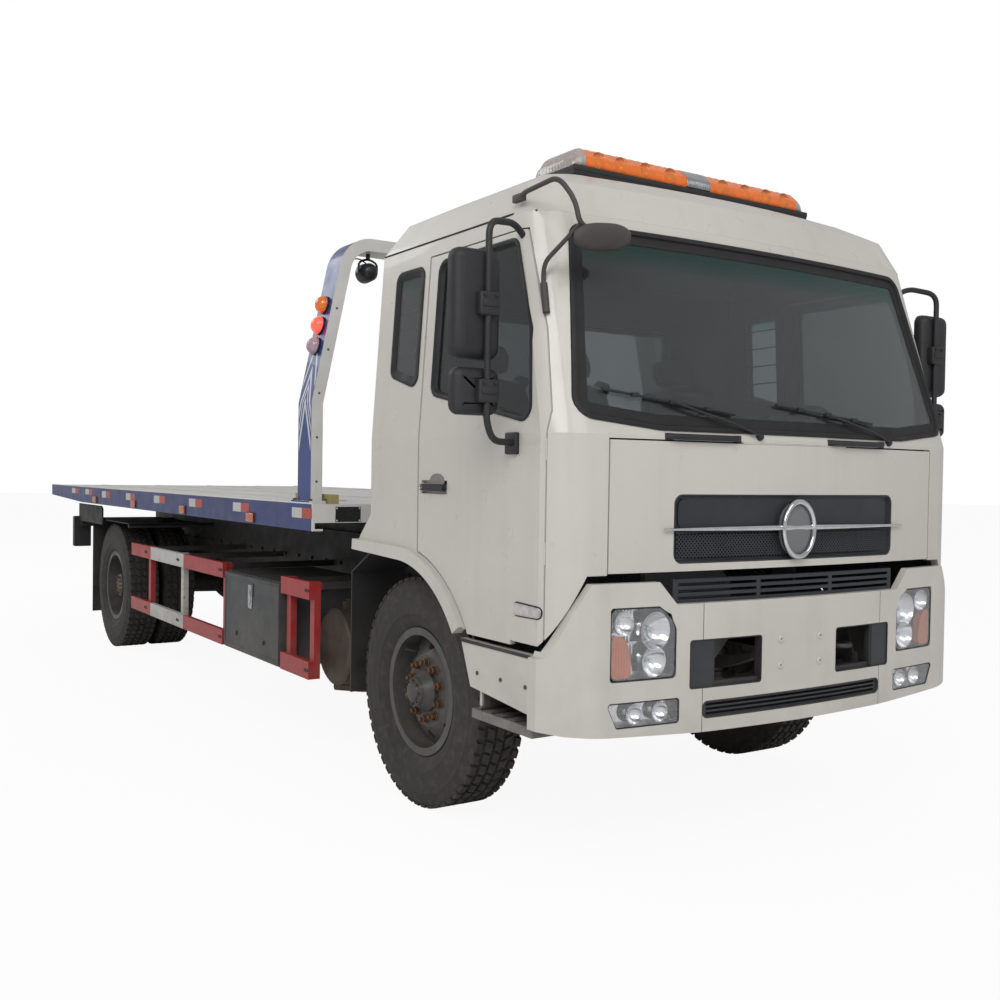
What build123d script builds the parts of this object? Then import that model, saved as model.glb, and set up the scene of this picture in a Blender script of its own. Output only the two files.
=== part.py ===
from build123d import *
from math import atan2, cos, degrees, hypot, radians, sin
import os

# Flatbed tow truck. Millimetres, +Z up, the truck faces -Y and its right side is -X.
# The origin is on the ground, below the middle of the whole truck.

# Wheelbase and overhangs
wheelbase = 5000
front_overhang = 1230
rear_overhang = 1700
overall_length = front_overhang + wheelbase + rear_overhang
front_axle_y = front_overhang - overall_length / 2
rear_axle_y = front_axle_y + wheelbase
nose_y = front_axle_y - front_overhang
tail_y = rear_axle_y + rear_overhang

# Clearances
seat_gap = 0.3
slide_gap = 0.5
pin_gap = 0.05
panel_gap = 6.0
hinge_side_gap = 12.0

# Wheels and tyres
tyre_radius = 505
tyre_width = 255
bead_radius = 262
flange_radius = 281
rim_width = 190
rim_wall = 14
front_track_half = 935
twin_spacing = 290
rear_track_half = 827
hub_radius = 92
front_stub_radius = 35
rear_stub_radius = 55
hand_hole_radius = 24
hand_holes = 8

# Frame rails
rail_outer_x = 430
rail_web = 8
rail_flange = 75
rail_bottom_z = 690
rail_top_z = 940
rail_front_y = front_axle_y - 1100
rail_rear_y = rear_axle_y + 1050

# Axles, knuckles and springs
kingpin_x = 790
kingpin_radius = 20
axle_eye_radius = 46
axle_eye_half = 60
ear_thickness = 30
spring_width = 75
front_spring_x = 392
rear_spring_x = 470

# Cab
cab_wall = 50
cab_rear_y = front_axle_y + 270
cab_front_y = front_axle_y - 1190
cab_front_bow = 50
front_panel_wall = 42
panel_top_z = 1600
cab_floor_z = 1112
cab_floor_thickness = 38
waist_z = 1620
roof_seam_z = 2450
windscreen_rake = 235
roof_top_z = 2655
cab_half_width = 1150
cab_top_half_width = cab_half_width - 54
front_panel_half = cab_half_width - 225
cab_edge_half = cab_half_width - 165
door_front_y = front_axle_y - 1055
door_rear_y = front_axle_y - 155
door_hinge_x = 1138.8
door_hinge_radius = 2.7
door_top_z = 2385
door_bottom_z = 842
arch_radius = 590
flare_width = 55
flare_out = 24
glass_thickness = 8
glass_inset = 5
cab_pivot_y = front_axle_y - 1120
cab_pivot_z = 700
cab_pin_radius = 15

# Bumper
bumper_half_width = cab_half_width + 22
bumper_wall = 30
bumper_bottom_z = 512
bumper_notch_z = 1000
bumper_top_z = 1085
bumper_end_y = front_axle_y - 1016

# Bed and gantry
bed_half_width = 1235
bed_front_y = front_axle_y + 720
bed_top_z = 1310
bed_skirt_z = 1178
bed_tail_skirt_z = 1216
deck_thickness = 14
runner_outer_x = 405
runner_width = 85
gantry_top_z = 2660
gantry_half_width = bed_half_width - 35
gantry_knee_z = 1815
gantry_lean = 11.92
gantry_bend_radius = 185
gantry_width = 62

# Tilt frame, lift and slide
tilt_beam_outer_x = 400
tilt_beam_width = 70
tilt_beam_height = 75
tilt_top_z = 1172
tilt_front_y = front_axle_y + 900
tilt_hinge_y = front_axle_y + 6030
tilt_hinge_z = 1040
tilt_pin_radius = 25
lift_x = 240
lift_barrel_y = front_axle_y + 3800
lift_barrel_z = 760
lift_eye_y = front_axle_y + 4500
lift_eye_z = 1075
lift_barrel_radius = 46
lift_rod_radius = 26
lift_closed_tail = 90
slide_barrel_radius = 40
slide_rod_radius = 22
slide_stroke = 3800


def behind_axle(distance):
    """The Y of a place that lies this far behind the front axle."""
    return front_axle_y + distance


def side_prism(points, x_from, x_to, mode=Mode.ADD, radius=0):
    """Extrude an outline seen from the side, as (y, z) points, from one X to another."""
    with BuildSketch(Plane.YZ.offset(x_from)) as outline:
        with BuildLine():
            if radius:
                FilletPolyline(*points, radius=radius, close=True)
            else:
                Polyline(*points, close=True)
        make_face()
    extrude(outline.sketch, amount=x_to - x_from, mode=mode)


def front_prism(points, y_from, y_to, mode=Mode.ADD, radius=0):
    """Extrude an outline seen from the front, as (x, z) points, from one Y to another."""
    with BuildSketch(Plane.XZ.offset(-y_from)) as outline:
        with BuildLine():
            if radius:
                FilletPolyline(*points, radius=radius, close=True)
            else:
                Polyline(*points, close=True)
        make_face()
    extrude(outline.sketch, amount=y_from - y_to, mode=mode)


def block(x_range, y_range, z_range, mode=Mode.ADD):
    """A box between two values along each axis."""
    centre = [(low + high) / 2 for low, high in (x_range, y_range, z_range)]
    size = [high - low for low, high in (x_range, y_range, z_range)]
    with Locations(tuple(centre)):
        Box(*size, mode=mode)


def bar_x(x_from, x_to, y, z, radius, mode=Mode.ADD):
    """A round bar that lies across the truck."""
    with BuildSketch(Plane.YZ.offset(x_from)) as section:
        with Locations((y, z)):
            Circle(radius)
    extrude(section.sketch, amount=x_to - x_from, mode=mode)


def bar_between(start, end, radius, mode=Mode.ADD):
    """A round bar from one point to another."""
    first, last = Vector(*start), Vector(*end)
    with BuildSketch(Plane(origin=first, z_dir=last - first)) as section:
        Circle(radius)
    extrude(section.sketch, amount=(last - first).length, mode=mode)


def plan_outline(half_width, front_y, bow, front_half, side_start, rear_y, inset):
    """Closed plan outline of the cab or bumper, with an arched front and arched corners."""
    edge_x = front_half - 0.45 * inset
    edge_y = front_y + bow + inset
    side_x = half_width - inset
    side_y = front_y + side_start + 0.5 * inset
    mid_x = (edge_x + side_x) / 2 + 0.16 * (side_x - edge_x)
    mid_y = (edge_y + side_y) / 2 - 0.16 * (side_y - edge_y)
    ThreePointArc((-edge_x, edge_y), (0, front_y + inset), (edge_x, edge_y))
    ThreePointArc((edge_x, edge_y), (mid_x, mid_y), (side_x, side_y))
    Polyline((side_x, side_y), (side_x, rear_y - inset), (-side_x, rear_y - inset), (-side_x, side_y))
    ThreePointArc((-side_x, side_y), (-mid_x, mid_y), (-edge_x, edge_y))


def cab_volume(inset, base_z, mode=Mode.ADD):
    """The cab's outer form, drawn in by inset: an upright lower part and a raked upper part."""
    with BuildSketch(Plane.XY.offset(base_z)) as base:
        with BuildLine():
            plan_outline(cab_half_width, cab_front_y, cab_front_bow, cab_edge_half, 160, cab_rear_y, inset)
        make_face()
    with BuildSketch(Plane.XY.offset(waist_z)) as waist:
        with BuildLine():
            plan_outline(cab_half_width, cab_front_y, cab_front_bow, cab_edge_half, 160, cab_rear_y, inset)
        make_face()
    with BuildSketch(Plane.XY.offset(roof_seam_z)) as top:
        with BuildLine():
            plan_outline(cab_top_half_width, cab_front_y + windscreen_rake, cab_front_bow,
                         cab_edge_half - 55, 145, cab_rear_y, inset)
        make_face()
    with BuildPart(mode=Mode.PRIVATE) as form:
        extrude(base.sketch, amount=waist_z - base_z)
        loft([waist.sketch, top.sketch], ruled=True)
    add(form.part, mode=mode)


def bumper_volume(inset, low_z, high_z, mode=Mode.ADD):
    """The bumper's outer form between two heights, drawn in by inset."""
    with BuildSketch(Plane.XY.offset(low_z)) as base:
        with BuildLine():
            plan_outline(bumper_half_width, nose_y, 60, 930, 175, bumper_end_y + 20 + inset, inset)
        make_face()
    extrude(base.sketch, amount=high_z - low_z, mode=mode)


def arc_point(angle, radius, y=None, z=None):
    """A point of a circle about the front axle, as (y, z); the angle is up from straight ahead."""
    centre_y = front_axle_y if y is None else y
    centre_z = tyre_radius if z is None else z
    return centre_y - radius * cos(radians(angle)), centre_z + radius * sin(radians(angle))


# What stays clear of the bumper when the cab tips forward
cab_skirt_outline = [(-1015, cab_floor_z), (-1150, 858), (-1300, 858), (-1300, 300),
                     (1300, 300), (1300, 858), (1150, 858), (1015, cab_floor_z)]

# The door's outline from the side, and the arch that cuts its lower rear corner
door_rake_foot_z = 1700
door_rake_middle = 73
door_rake_middle_z = 2000
door_rake = 203
door_arch_radius = arch_radius + flare_width + panel_gap
door_bottom_arch_angle = degrees(atan2(door_bottom_z - tyre_radius, 550))


def door_outline(gap):
    """The door's side outline, drawn in by gap, before the arch is cut from it."""
    return [(door_front_y + gap, door_bottom_z),
            (door_front_y + gap, door_rake_foot_z),
            (door_front_y + door_rake_middle + gap, door_rake_middle_z),
            (door_front_y + door_rake + gap, door_top_z - gap),
            (door_rear_y - 2 * gap, door_top_z - gap),
            (door_rear_y - 2 * gap, door_bottom_z)]


def door_window_outline(inset):
    """The door window's side outline, drawn in by inset."""
    return [(behind_axle(-962) + inset, 1664 + inset),
            (behind_axle(-925) + inset, 2000),
            (behind_axle(-800) + inset, 2345 - inset),
            (behind_axle(-248) - inset, 2345 - inset),
            (behind_axle(-248) - inset, 1802 + inset)]


def quarter_window_outline(inset):
    """The cab's rear quarter window from the side, drawn in by inset."""
    return [(behind_axle(-112) + inset, 1835 + inset),
            (behind_axle(-112) + inset, 2345 - inset),
            (behind_axle(120) - inset, 2345 - inset),
            (behind_axle(120) - inset, 1900 + inset)]


def windscreen_outline(inset):
    """The windscreen from the front, drawn in by inset."""
    return [(-1052 + inset, 1690 + inset), (-945 + inset, 2400 - inset), (945 - inset, 2400 - inset),
            (1052 - inset, 1690 + inset), (700, 1652 + inset), (-700, 1652 + inset)]


def rear_window_outline(inset):
    """The cab's rear window from behind, drawn in by inset."""
    return [(-620 + inset, 1780 + inset), (-620 + inset, 2240 - inset),
            (620 - inset, 2240 - inset), (620 - inset, 1780 + inset)]


def cab_skin(inset, thickness, mode=Mode.ADD):
    """A skin of the cab's form, of one thickness, that starts inset below its surface."""
    with BuildPart(mode=Mode.PRIVATE) as skin:
        cab_volume(inset, door_bottom_z - 30)
        cab_volume(inset + thickness, door_bottom_z - 60, mode=Mode.SUBTRACT)
    add(skin.part, mode=mode)


# Frame rails with their cross members, cab rest and front beam
with BuildPart() as frame_rails:
    for side in (-1, 1):
        with BuildSketch(Plane.XZ.offset(-rail_front_y)):
            with BuildLine():
                Polyline((side * rail_outer_x, rail_bottom_z),
                         (side * rail_outer_x, rail_top_z),
                         (side * (rail_outer_x - rail_flange), rail_top_z),
                         (side * (rail_outer_x - rail_flange), rail_top_z - rail_web),
                         (side * (rail_outer_x - rail_web), rail_top_z - rail_web),
                         (side * (rail_outer_x - rail_web), rail_bottom_z + rail_web),
                         (side * (rail_outer_x - rail_flange), rail_bottom_z + rail_web),
                         (side * (rail_outer_x - rail_flange), rail_bottom_z),
                         close=True)
            make_face()
        extrude(amount=rail_front_y - rail_rear_y)
    inner_x = rail_outer_x - rail_web
    for cross_y in (behind_axle(-1040), behind_axle(1500), behind_axle(2700), lift_barrel_y - 160,
                    behind_axle(4400), behind_axle(5600), rail_rear_y - 40):
        block((-inner_x, inner_x), (cross_y - 30, cross_y + 30), (rail_top_z - 108, rail_top_z - 10))
    # cab rest behind the cab's centre
    rest_y = behind_axle(190)
    for side in (-1, 1):
        side_prism([(rest_y - 70, rail_top_z), (rest_y + 70, rail_top_z),
                    (rest_y + 35, cab_floor_z - seat_gap), (rest_y - 35, cab_floor_z - seat_gap)],
                   side * (rail_outer_x - rail_flange), side * rail_outer_x)
        # spring hangers
        for hanger_y, hanger_x in ((front_axle_y - 610, front_spring_x), (front_axle_y + 610, front_spring_x)):
            block((min(side * (hanger_x - 30), side * (hanger_x + 30)),
                   max(side * (hanger_x - 30), side * (hanger_x + 30))),
                  (hanger_y - 30, hanger_y + 30), (665 + seat_gap, rail_bottom_z))
        for hanger_y in (rear_axle_y - 660, rear_axle_y + 660):
            block((min(side * 426, side * 507), max(side * 426, side * 507)),
                  (hanger_y - 25, hanger_y + 25), (675, 760))
        # cab hinge pin
        bar_x(side * (rail_outer_x - rail_web), side * (rail_outer_x + 62), cab_pivot_y, cab_pivot_z + 0,
              cab_pin_radius)
        side_prism([(rail_front_y, rail_top_z - 60), (rail_front_y, rail_bottom_z),
                    (cab_pivot_y - 30, cab_pivot_z - 30), (cab_pivot_y - 30, cab_pivot_z + 40)],
                   side * (rail_outer_x - rail_web), side * rail_outer_x)
        # drop plate down to the bumper beam
        block((min(side * 380, side * 420), max(side * 380, side * 420)),
              (nose_y + bumper_wall + 50, rail_front_y + 80), (570, rail_bottom_z))
    with BuildPart(mode=Mode.PRIVATE) as bumper_beam:
        bumper_volume(bumper_wall + seat_gap, 575, 650)
        bumper_volume(bumper_wall + 60, 570, 670, mode=Mode.SUBTRACT)
        block((-620, 620), (nose_y, nose_y + 150), (575, 650), mode=Mode.INTERSECT)
    add(bumper_beam.part)
frame_rails.part.label = "frame_rails"

# Engine, gearbox and propeller shaft
with BuildPart() as engine_block:
    block((-300, 300), (behind_axle(-560), behind_axle(560)), (640, 1075))
    chamfer(engine_block.edges().filter_by(Axis.Y), length=90)
    mount_x = rail_outer_x - rail_web - seat_gap
    for mount_y in (behind_axle(-330), behind_axle(330)):
        block((-mount_x, mount_x), (mount_y - 35, mount_y + 35), (740, 790))
engine_block.part.label = "engine_block"

with BuildPart() as driveline:
    bar_between((0, behind_axle(560 + seat_gap), 800), (0, behind_axle(760), 800), 230)
    bar_between((0, behind_axle(760), 800), (0, behind_axle(1250), 780), 150)
    bar_between((0, behind_axle(1250), 780), (0, rear_axle_y - 190 - seat_gap, 515), 45)
driveline.part.label = "driveline"

# Front axle beam
with BuildPart() as front_axle:
    pad_x = front_spring_x + spring_width / 2
    with BuildSketch(Plane.XZ.offset(-front_axle_y - 40)):
        with BuildLine():
            Polyline((-kingpin_x, 470), (-kingpin_x, 540), (-620, 535), (-pad_x, 500), (pad_x, 500),
                     (620, 535), (kingpin_x, 540), (kingpin_x, 470), (640, 460), (pad_x + 10, 400),
                     (-pad_x - 10, 400), (-640, 460), close=True)
        make_face()
    extrude(amount=-80)
    for side in (-1, 1):
        with Locations((side * kingpin_x, front_axle_y, tyre_radius)):
            Cylinder(axle_eye_radius, 2 * axle_eye_half)
            Cylinder(kingpin_radius + pin_gap, 2 * axle_eye_half + 20, mode=Mode.SUBTRACT)
front_axle.part.label = "front_axle"

# Rear axle housing with its stubs
with BuildPart() as rear_axle:
    with BuildSketch(Plane.XY.offset(tyre_radius)) as housing:
        with BuildLine():
            Polyline((-1000, rear_axle_y), (-1000, rear_axle_y + rear_stub_radius),
                     (-545, rear_axle_y + rear_stub_radius), (-545, rear_axle_y + 80),
                     (-210, rear_axle_y + 90))
            ThreePointArc((-210, rear_axle_y + 90), (0, rear_axle_y + 190), (210, rear_axle_y + 90))
            Polyline((210, rear_axle_y + 90), (545, rear_axle_y + 80), (545, rear_axle_y + rear_stub_radius),
                     (1000, rear_axle_y + rear_stub_radius), (1000, rear_axle_y), (-1000, rear_axle_y))
        make_face()
    revolve(housing.sketch, axis=Axis((0, rear_axle_y, tyre_radius), (1, 0, 0)))
    for side in (-1, 1):
        block((min(side * 432, side * 508), max(side * 432, side * 508)),
              (rear_axle_y - 60, rear_axle_y + 60), (tyre_radius, 595))
rear_axle.part.label = "rear_axle"

# Leaf springs
with BuildPart() as leaf_springs:
    for side in (-1, 1):
        for spring_x, spring_y, half, end_low, middle_low, end_high, middle_high in (
                (front_spring_x, front_axle_y, 640, 635, 500 + seat_gap, 665, 575),
                (rear_spring_x, rear_axle_y, 690, 640, 595 + seat_gap, 673, 682)):
            centre_x = side * spring_x
            with BuildSketch(Plane.YZ.offset(centre_x - spring_width / 2)) as leaf:
                with BuildLine():
                    ThreePointArc((spring_y - half, end_low), (spring_y, middle_low),
                                  (spring_y + half, end_low))
                    Line((spring_y + half, end_low), (spring_y + half, end_high))
                    ThreePointArc((spring_y + half, end_high), (spring_y, middle_high),
                                  (spring_y - half, end_high))
                    Line((spring_y - half, end_high), (spring_y - half, end_low))
                make_face()
            extrude(leaf.sketch, amount=spring_width)
leaf_springs.part.label = "leaf_springs"


def knuckle(side):
    """Steering knuckle: two ears with the kingpin, and the stub that carries the hub."""
    ear_low = axle_eye_half + 4
    with BuildPart() as piece:
        for direction in (-1, 1):
            with Locations((side * kingpin_x, front_axle_y,
                            tyre_radius + direction * (ear_low + ear_thickness / 2))):
                Cylinder(axle_eye_radius, ear_thickness)
        web_x = kingpin_x + axle_eye_radius + 6
        block((min(side * kingpin_x, side * (web_x + 20)), max(side * kingpin_x, side * (web_x + 20))),
              (front_axle_y - 35, front_axle_y + 35),
              (tyre_radius + ear_low, tyre_radius + ear_low + ear_thickness))
        block((min(side * kingpin_x, side * (web_x + 20)), max(side * kingpin_x, side * (web_x + 20))),
              (front_axle_y - 35, front_axle_y + 35),
              (tyre_radius - ear_low - ear_thickness, tyre_radius - ear_low))
        block((min(side * web_x, side * (web_x + 20)), max(side * web_x, side * (web_x + 20))),
              (front_axle_y - 45, front_axle_y + 45),
              (tyre_radius - ear_low - ear_thickness, tyre_radius + ear_low + ear_thickness))
        with Locations((side * kingpin_x, front_axle_y, tyre_radius)):
            Cylinder(kingpin_radius, 2 * (ear_low + ear_thickness))
        bar_x(side * (web_x + 20), side * (front_track_half + 60), front_axle_y, tyre_radius,
              front_stub_radius)
    return piece


knuckle_right = knuckle(-1)
knuckle_right.part.label = "knuckle_right"
knuckle_left = knuckle(1)
knuckle_left.part.label = "knuckle_left"


def tyre_ring(centre_x, centre_y):
    """One tyre, turned about the wheel's axis."""
    half = tyre_width / 2
    with BuildSketch(Plane(origin=(centre_x, centre_y, tyre_radius), x_dir=(1, 0, 0),
                           z_dir=(0, -1, 0))) as section:
        with BuildLine():
            Line((-half + 52, bead_radius), (-half + 40, bead_radius + 22))
            ThreePointArc((-half + 40, bead_radius + 22), (-half, bead_radius + 118),
                          (-half + 16, tyre_radius - 22))
            Line((-half + 16, tyre_radius - 22), (-half + 38, tyre_radius))
            Line((-half + 38, tyre_radius), (half - 38, tyre_radius))
            Line((half - 38, tyre_radius), (half - 16, tyre_radius - 22))
            ThreePointArc((half - 16, tyre_radius - 22), (half, bead_radius + 118),
                          (half - 40, bead_radius + 22))
            Line((half - 40, bead_radius + 22), (half - 52, bead_radius))
            Line((half - 52, bead_radius), (-half + 52, bead_radius))
        make_face()
    revolve(section.sketch, axis=Axis((centre_x, centre_y, tyre_radius), (1, 0, 0)))


def rim_ring(centre_x, centre_y, outward, disc_out, hub_from, hub_to, bore):
    """Rim, dished disc with hand holes, and hub; disc_out is how far out the disc's middle lies."""
    half = rim_width / 2
    rim_inner = bead_radius - rim_wall
    axis = Axis((centre_x, centre_y, tyre_radius), (1, 0, 0))
    with BuildSketch(Plane(origin=(centre_x, centre_y, tyre_radius), x_dir=(outward, 0, 0),
                           z_dir=(0, -outward, 0))) as section:
        with BuildLine():
            Polyline((-half - 6, flange_radius), (-half - 6, rim_inner), (half + 6, rim_inner),
                     (half + 6, flange_radius), (half - 2, flange_radius),
                     (half - 2, bead_radius - seat_gap), (-half + 2, bead_radius - seat_gap),
                     (-half + 2, flange_radius), close=True)
        make_face()
        with BuildLine():
            Polyline((disc_out, hub_radius - 10), (disc_out, 160), (disc_out - 55, rim_inner + 3),
                     (disc_out - 71, rim_inner + 3), (disc_out - 16, 150),
                     (disc_out - 16, hub_radius - 10), close=True)
        make_face()
        with BuildLine():
            Polyline((hub_from, bore), (hub_from, hub_radius), (hub_to - 40, hub_radius),
                     (hub_to, hub_radius - 26), (hub_to, bore), close=True)
        make_face()
    revolve(section.sketch, axis=axis)
    hole_x = centre_x + outward * (disc_out - 30)
    with BuildSketch(Plane(origin=(hole_x - 60, centre_y, tyre_radius), x_dir=(0, 1, 0),
                           z_dir=(1, 0, 0))) as holes:
        with PolarLocations(204, hand_holes):
            Circle(hand_hole_radius)
    extrude(holes.sketch, amount=120, mode=Mode.SUBTRACT)


def front_rim(side):
    """Front wheel disc and hub."""
    with BuildPart() as piece:
        rim_ring(side * front_track_half, front_axle_y, side, 62, -50, 118,
                 front_stub_radius + pin_gap)
    return piece


def rear_rims(side):
    """Twin rims on one hub, their discs back to back."""
    outer_x = side * (rear_track_half + twin_spacing / 2)
    inner_x = side * (rear_track_half - twin_spacing / 2)
    with BuildPart() as piece:
        rim_ring(outer_x, rear_axle_y, -side, 128, -60, 150, rear_stub_radius + pin_gap)
        rim_ring(inner_x, rear_axle_y, side, 128, -60, 150, rear_stub_radius + pin_gap)
    return piece


rim_front_right = front_rim(-1)
rim_front_right.part.label = "rim_front_right"
rim_front_left = front_rim(1)
rim_front_left.part.label = "rim_front_left"
rims_rear_right = rear_rims(-1)
rims_rear_right.part.label = "rims_rear_right"
rims_rear_left = rear_rims(1)
rims_rear_left.part.label = "rims_rear_left"

with BuildPart() as tyre_front_right:
    tyre_ring(-front_track_half, front_axle_y)
tyre_front_right.part.label = "tyre_front_right"

with BuildPart() as tyre_front_left:
    tyre_ring(front_track_half, front_axle_y)
tyre_front_left.part.label = "tyre_front_left"

with BuildPart() as tyres_rear_right:
    tyre_ring(-rear_track_half - twin_spacing / 2, rear_axle_y)
    tyre_ring(-rear_track_half + twin_spacing / 2, rear_axle_y)
tyres_rear_right.part.label = "tyres_rear_right"

with BuildPart() as tyres_rear_left:
    tyre_ring(rear_track_half + twin_spacing / 2, rear_axle_y)
    tyre_ring(rear_track_half - twin_spacing / 2, rear_axle_y)
tyres_rear_left.part.label = "tyres_rear_left"

# Bumper skin with its lamp and air openings
headlamp_outline = [(640, 729), (640, 985), (655, 997), (930, 997), (930, 729)]
lower_lamp_outline = [(622, 655), (622, 561), (900, 561), (945, 655)]
box_opening = [(215, 680), (215, 864), (578, 864), (578, 680)]


def mirrored(points, side):
    """The outline on one side of the truck, as (x, z) points."""
    return [(side * x, z) for x, z in points]


with BuildPart() as bumper:
    bumper_volume(0, bumper_bottom_z, bumper_top_z)
    bumper_volume(bumper_wall, bumper_bottom_z - 20, bumper_top_z + 20, mode=Mode.SUBTRACT)
    with BuildPart(mode=Mode.PRIVATE) as bumper_face:
        front_prism([(-640, bumper_notch_z), (-720, bumper_top_z), (-1010, bumper_top_z), (-1075, 985),
                     (-1150, 822), (-1200, 812), (-1200, 565), (-1100, 548), (-930, 532), (-515, 516),
                     (0, bumper_bottom_z),
                     (515, 516), (930, 532), (1100, 548), (1200, 565), (1200, 812), (1150, 822),
                     (1075, 985), (1010, bumper_top_z), (720, bumper_top_z), (640, bumper_notch_z)],
                    nose_y - 10, bumper_end_y + 10)
    add(bumper_face.part, mode=Mode.INTERSECT)
    for side in (-1, 1):
        front_prism(mirrored(headlamp_outline, side), nose_y - 10, nose_y + 200, mode=Mode.SUBTRACT, radius=14)
        front_prism(mirrored(lower_lamp_outline, side), nose_y - 10, nose_y + 200, mode=Mode.SUBTRACT, radius=14)
        front_prism(mirrored(box_opening, side), nose_y - 10, nose_y + 120, mode=Mode.SUBTRACT, radius=14)
    front_prism([(-515, 565), (-515, 632), (515, 632), (515, 565)], nose_y - 10, nose_y + 100,
                mode=Mode.SUBTRACT, radius=25)
    plate_holes = [(x, z) for x in (-114, 114) for z in (738, 840)]
    with BuildSketch(Plane.XZ.offset(-nose_y + 20)) as plate_hole_sketch:
        with Locations(*plate_holes):
            Circle(4)
    extrude(plate_hole_sketch.sketch, amount=-120, mode=Mode.SUBTRACT)
bumper.part.label = "bumper"

with BuildPart() as front_lamps:
    for side in (-1, 1):
        for outline in (headlamp_outline, lower_lamp_outline):
            with BuildPart(mode=Mode.PRIVATE) as lamp:
                bumper_volume(4, 540, 1010)
                bumper_volume(70, 530, 1020, mode=Mode.SUBTRACT)
                middle_x = sum(x for x, z in outline) / len(outline)
                middle_z = sum(z for x, z in outline) / len(outline)
                wide = max(x for x, z in outline) - min(x for x, z in outline)
                high = max(z for x, z in outline) - min(z for x, z in outline)
                shrunk = [(middle_x + (x - middle_x) * (1 - 2 * seat_gap / wide),
                           middle_z + (z - middle_z) * (1 - 2 * seat_gap / high)) for x, z in outline]
                with BuildPart(mode=Mode.PRIVATE) as lamp_face:
                    front_prism(mirrored(shrunk, side), nose_y - 10, nose_y + 200, radius=14)
                add(lamp_face.part, mode=Mode.INTERSECT)
            add(lamp.part)
front_lamps.part.label = "front_lamps"

# Black strip above the notch, lower intake and the two box grilles
with BuildPart() as bumper_grilles:
    with BuildPart(mode=Mode.PRIVATE) as strip:
        bumper_volume(bumper_wall + seat_gap, bumper_notch_z - 60, bumper_top_z + 4)
        bumper_volume(54, bumper_notch_z - 70, bumper_top_z + 10, mode=Mode.SUBTRACT)
        block((-636, 636), (nose_y, nose_y + 120), (bumper_notch_z - 60, bumper_top_z + 4),
              mode=Mode.INTERSECT)
        for slot_z in (1020, 1045, 1070):
            for slot_from, slot_to in ((-610, -220), (-200, 200), (220, 610)):
                block((slot_from, slot_to), (nose_y, nose_y + 160), (slot_z - 7, slot_z + 5),
                      mode=Mode.SUBTRACT)
    add(strip.part)
    with BuildPart(mode=Mode.PRIVATE) as intake:
        bumper_volume(8, 565.3, 631.7)
        bumper_volume(bumper_wall, 560, 640, mode=Mode.SUBTRACT)
        with BuildPart(mode=Mode.PRIVATE) as intake_face:
            front_prism([(-514.7, 565.3), (-514.7, 631.7), (514.7, 631.7), (514.7, 565.3)],
                        nose_y, nose_y + 90, radius=25)
        add(intake_face.part, mode=Mode.INTERSECT)
        for slot_z in (582, 599, 616):
            block((-490, 490), (nose_y, nose_y + 120), (slot_z - 5, slot_z + 5), mode=Mode.SUBTRACT)
    add(intake.part)
    for side in (-1, 1):
        with BuildPart(mode=Mode.PRIVATE) as box_panel:
            bumper_volume(4, 680.3, 863.7)
            bumper_volume(bumper_wall, 670, 870, mode=Mode.SUBTRACT)
            with BuildPart(mode=Mode.PRIVATE) as panel_face:
                front_prism(mirrored([(462, 680.3), (462, 863.7), (577.7, 863.7), (577.7, 680.3)], side),
                            nose_y, nose_y + 90, radius=14)
            add(panel_face.part, mode=Mode.INTERSECT)
        add(box_panel.part)
bumper_grilles.part.label = "bumper_grilles"

# Steps below the doors
with BuildPart() as side_steps:
    for side in (-1, 1):
        side_prism([(behind_axle(-1005), 600), (behind_axle(-1005), 820), (behind_axle(-515), 820),
                    (behind_axle(-590), 640)],
                   side * 1120, side * (cab_half_width - 2))
        block((min(side * 850, side * 1145), max(side * 850, side * 1145)),
              (behind_axle(-1000), behind_axle(-600)), (520, 556))
        block((min(side * 850, side * 1125), max(side * 850, side * 1125)),
              (behind_axle(-1000), behind_axle(-985)), (540, 800))
        block((min(side * 850, side * 1125), max(side * 850, side * 1125)),
              (behind_axle(-640), behind_axle(-625)), (540, 800))
        block((min(side * 850, side * 1120), max(side * 850, side * 1120)),
              (behind_axle(-1000), behind_axle(-620)), (780, 800))
        block((min(side * 850, side * 862), max(side * 850, side * 862)),
              (behind_axle(-1000), behind_axle(-625)), (520, 800))
        for bar_y in (behind_axle(-960), behind_axle(-700)):
            bar_x(side * (rail_outer_x - 60), side * 855, bar_y, rail_bottom_z - 60, 18)
            block((min(side * (rail_outer_x - 60), side * (rail_outer_x - 20)),
                   max(side * (rail_outer_x - 60), side * (rail_outer_x - 20))),
                  (bar_y - 18, bar_y + 18), (rail_bottom_z - 60, rail_bottom_z - seat_gap))
side_steps.part.label = "side_steps"

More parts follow.
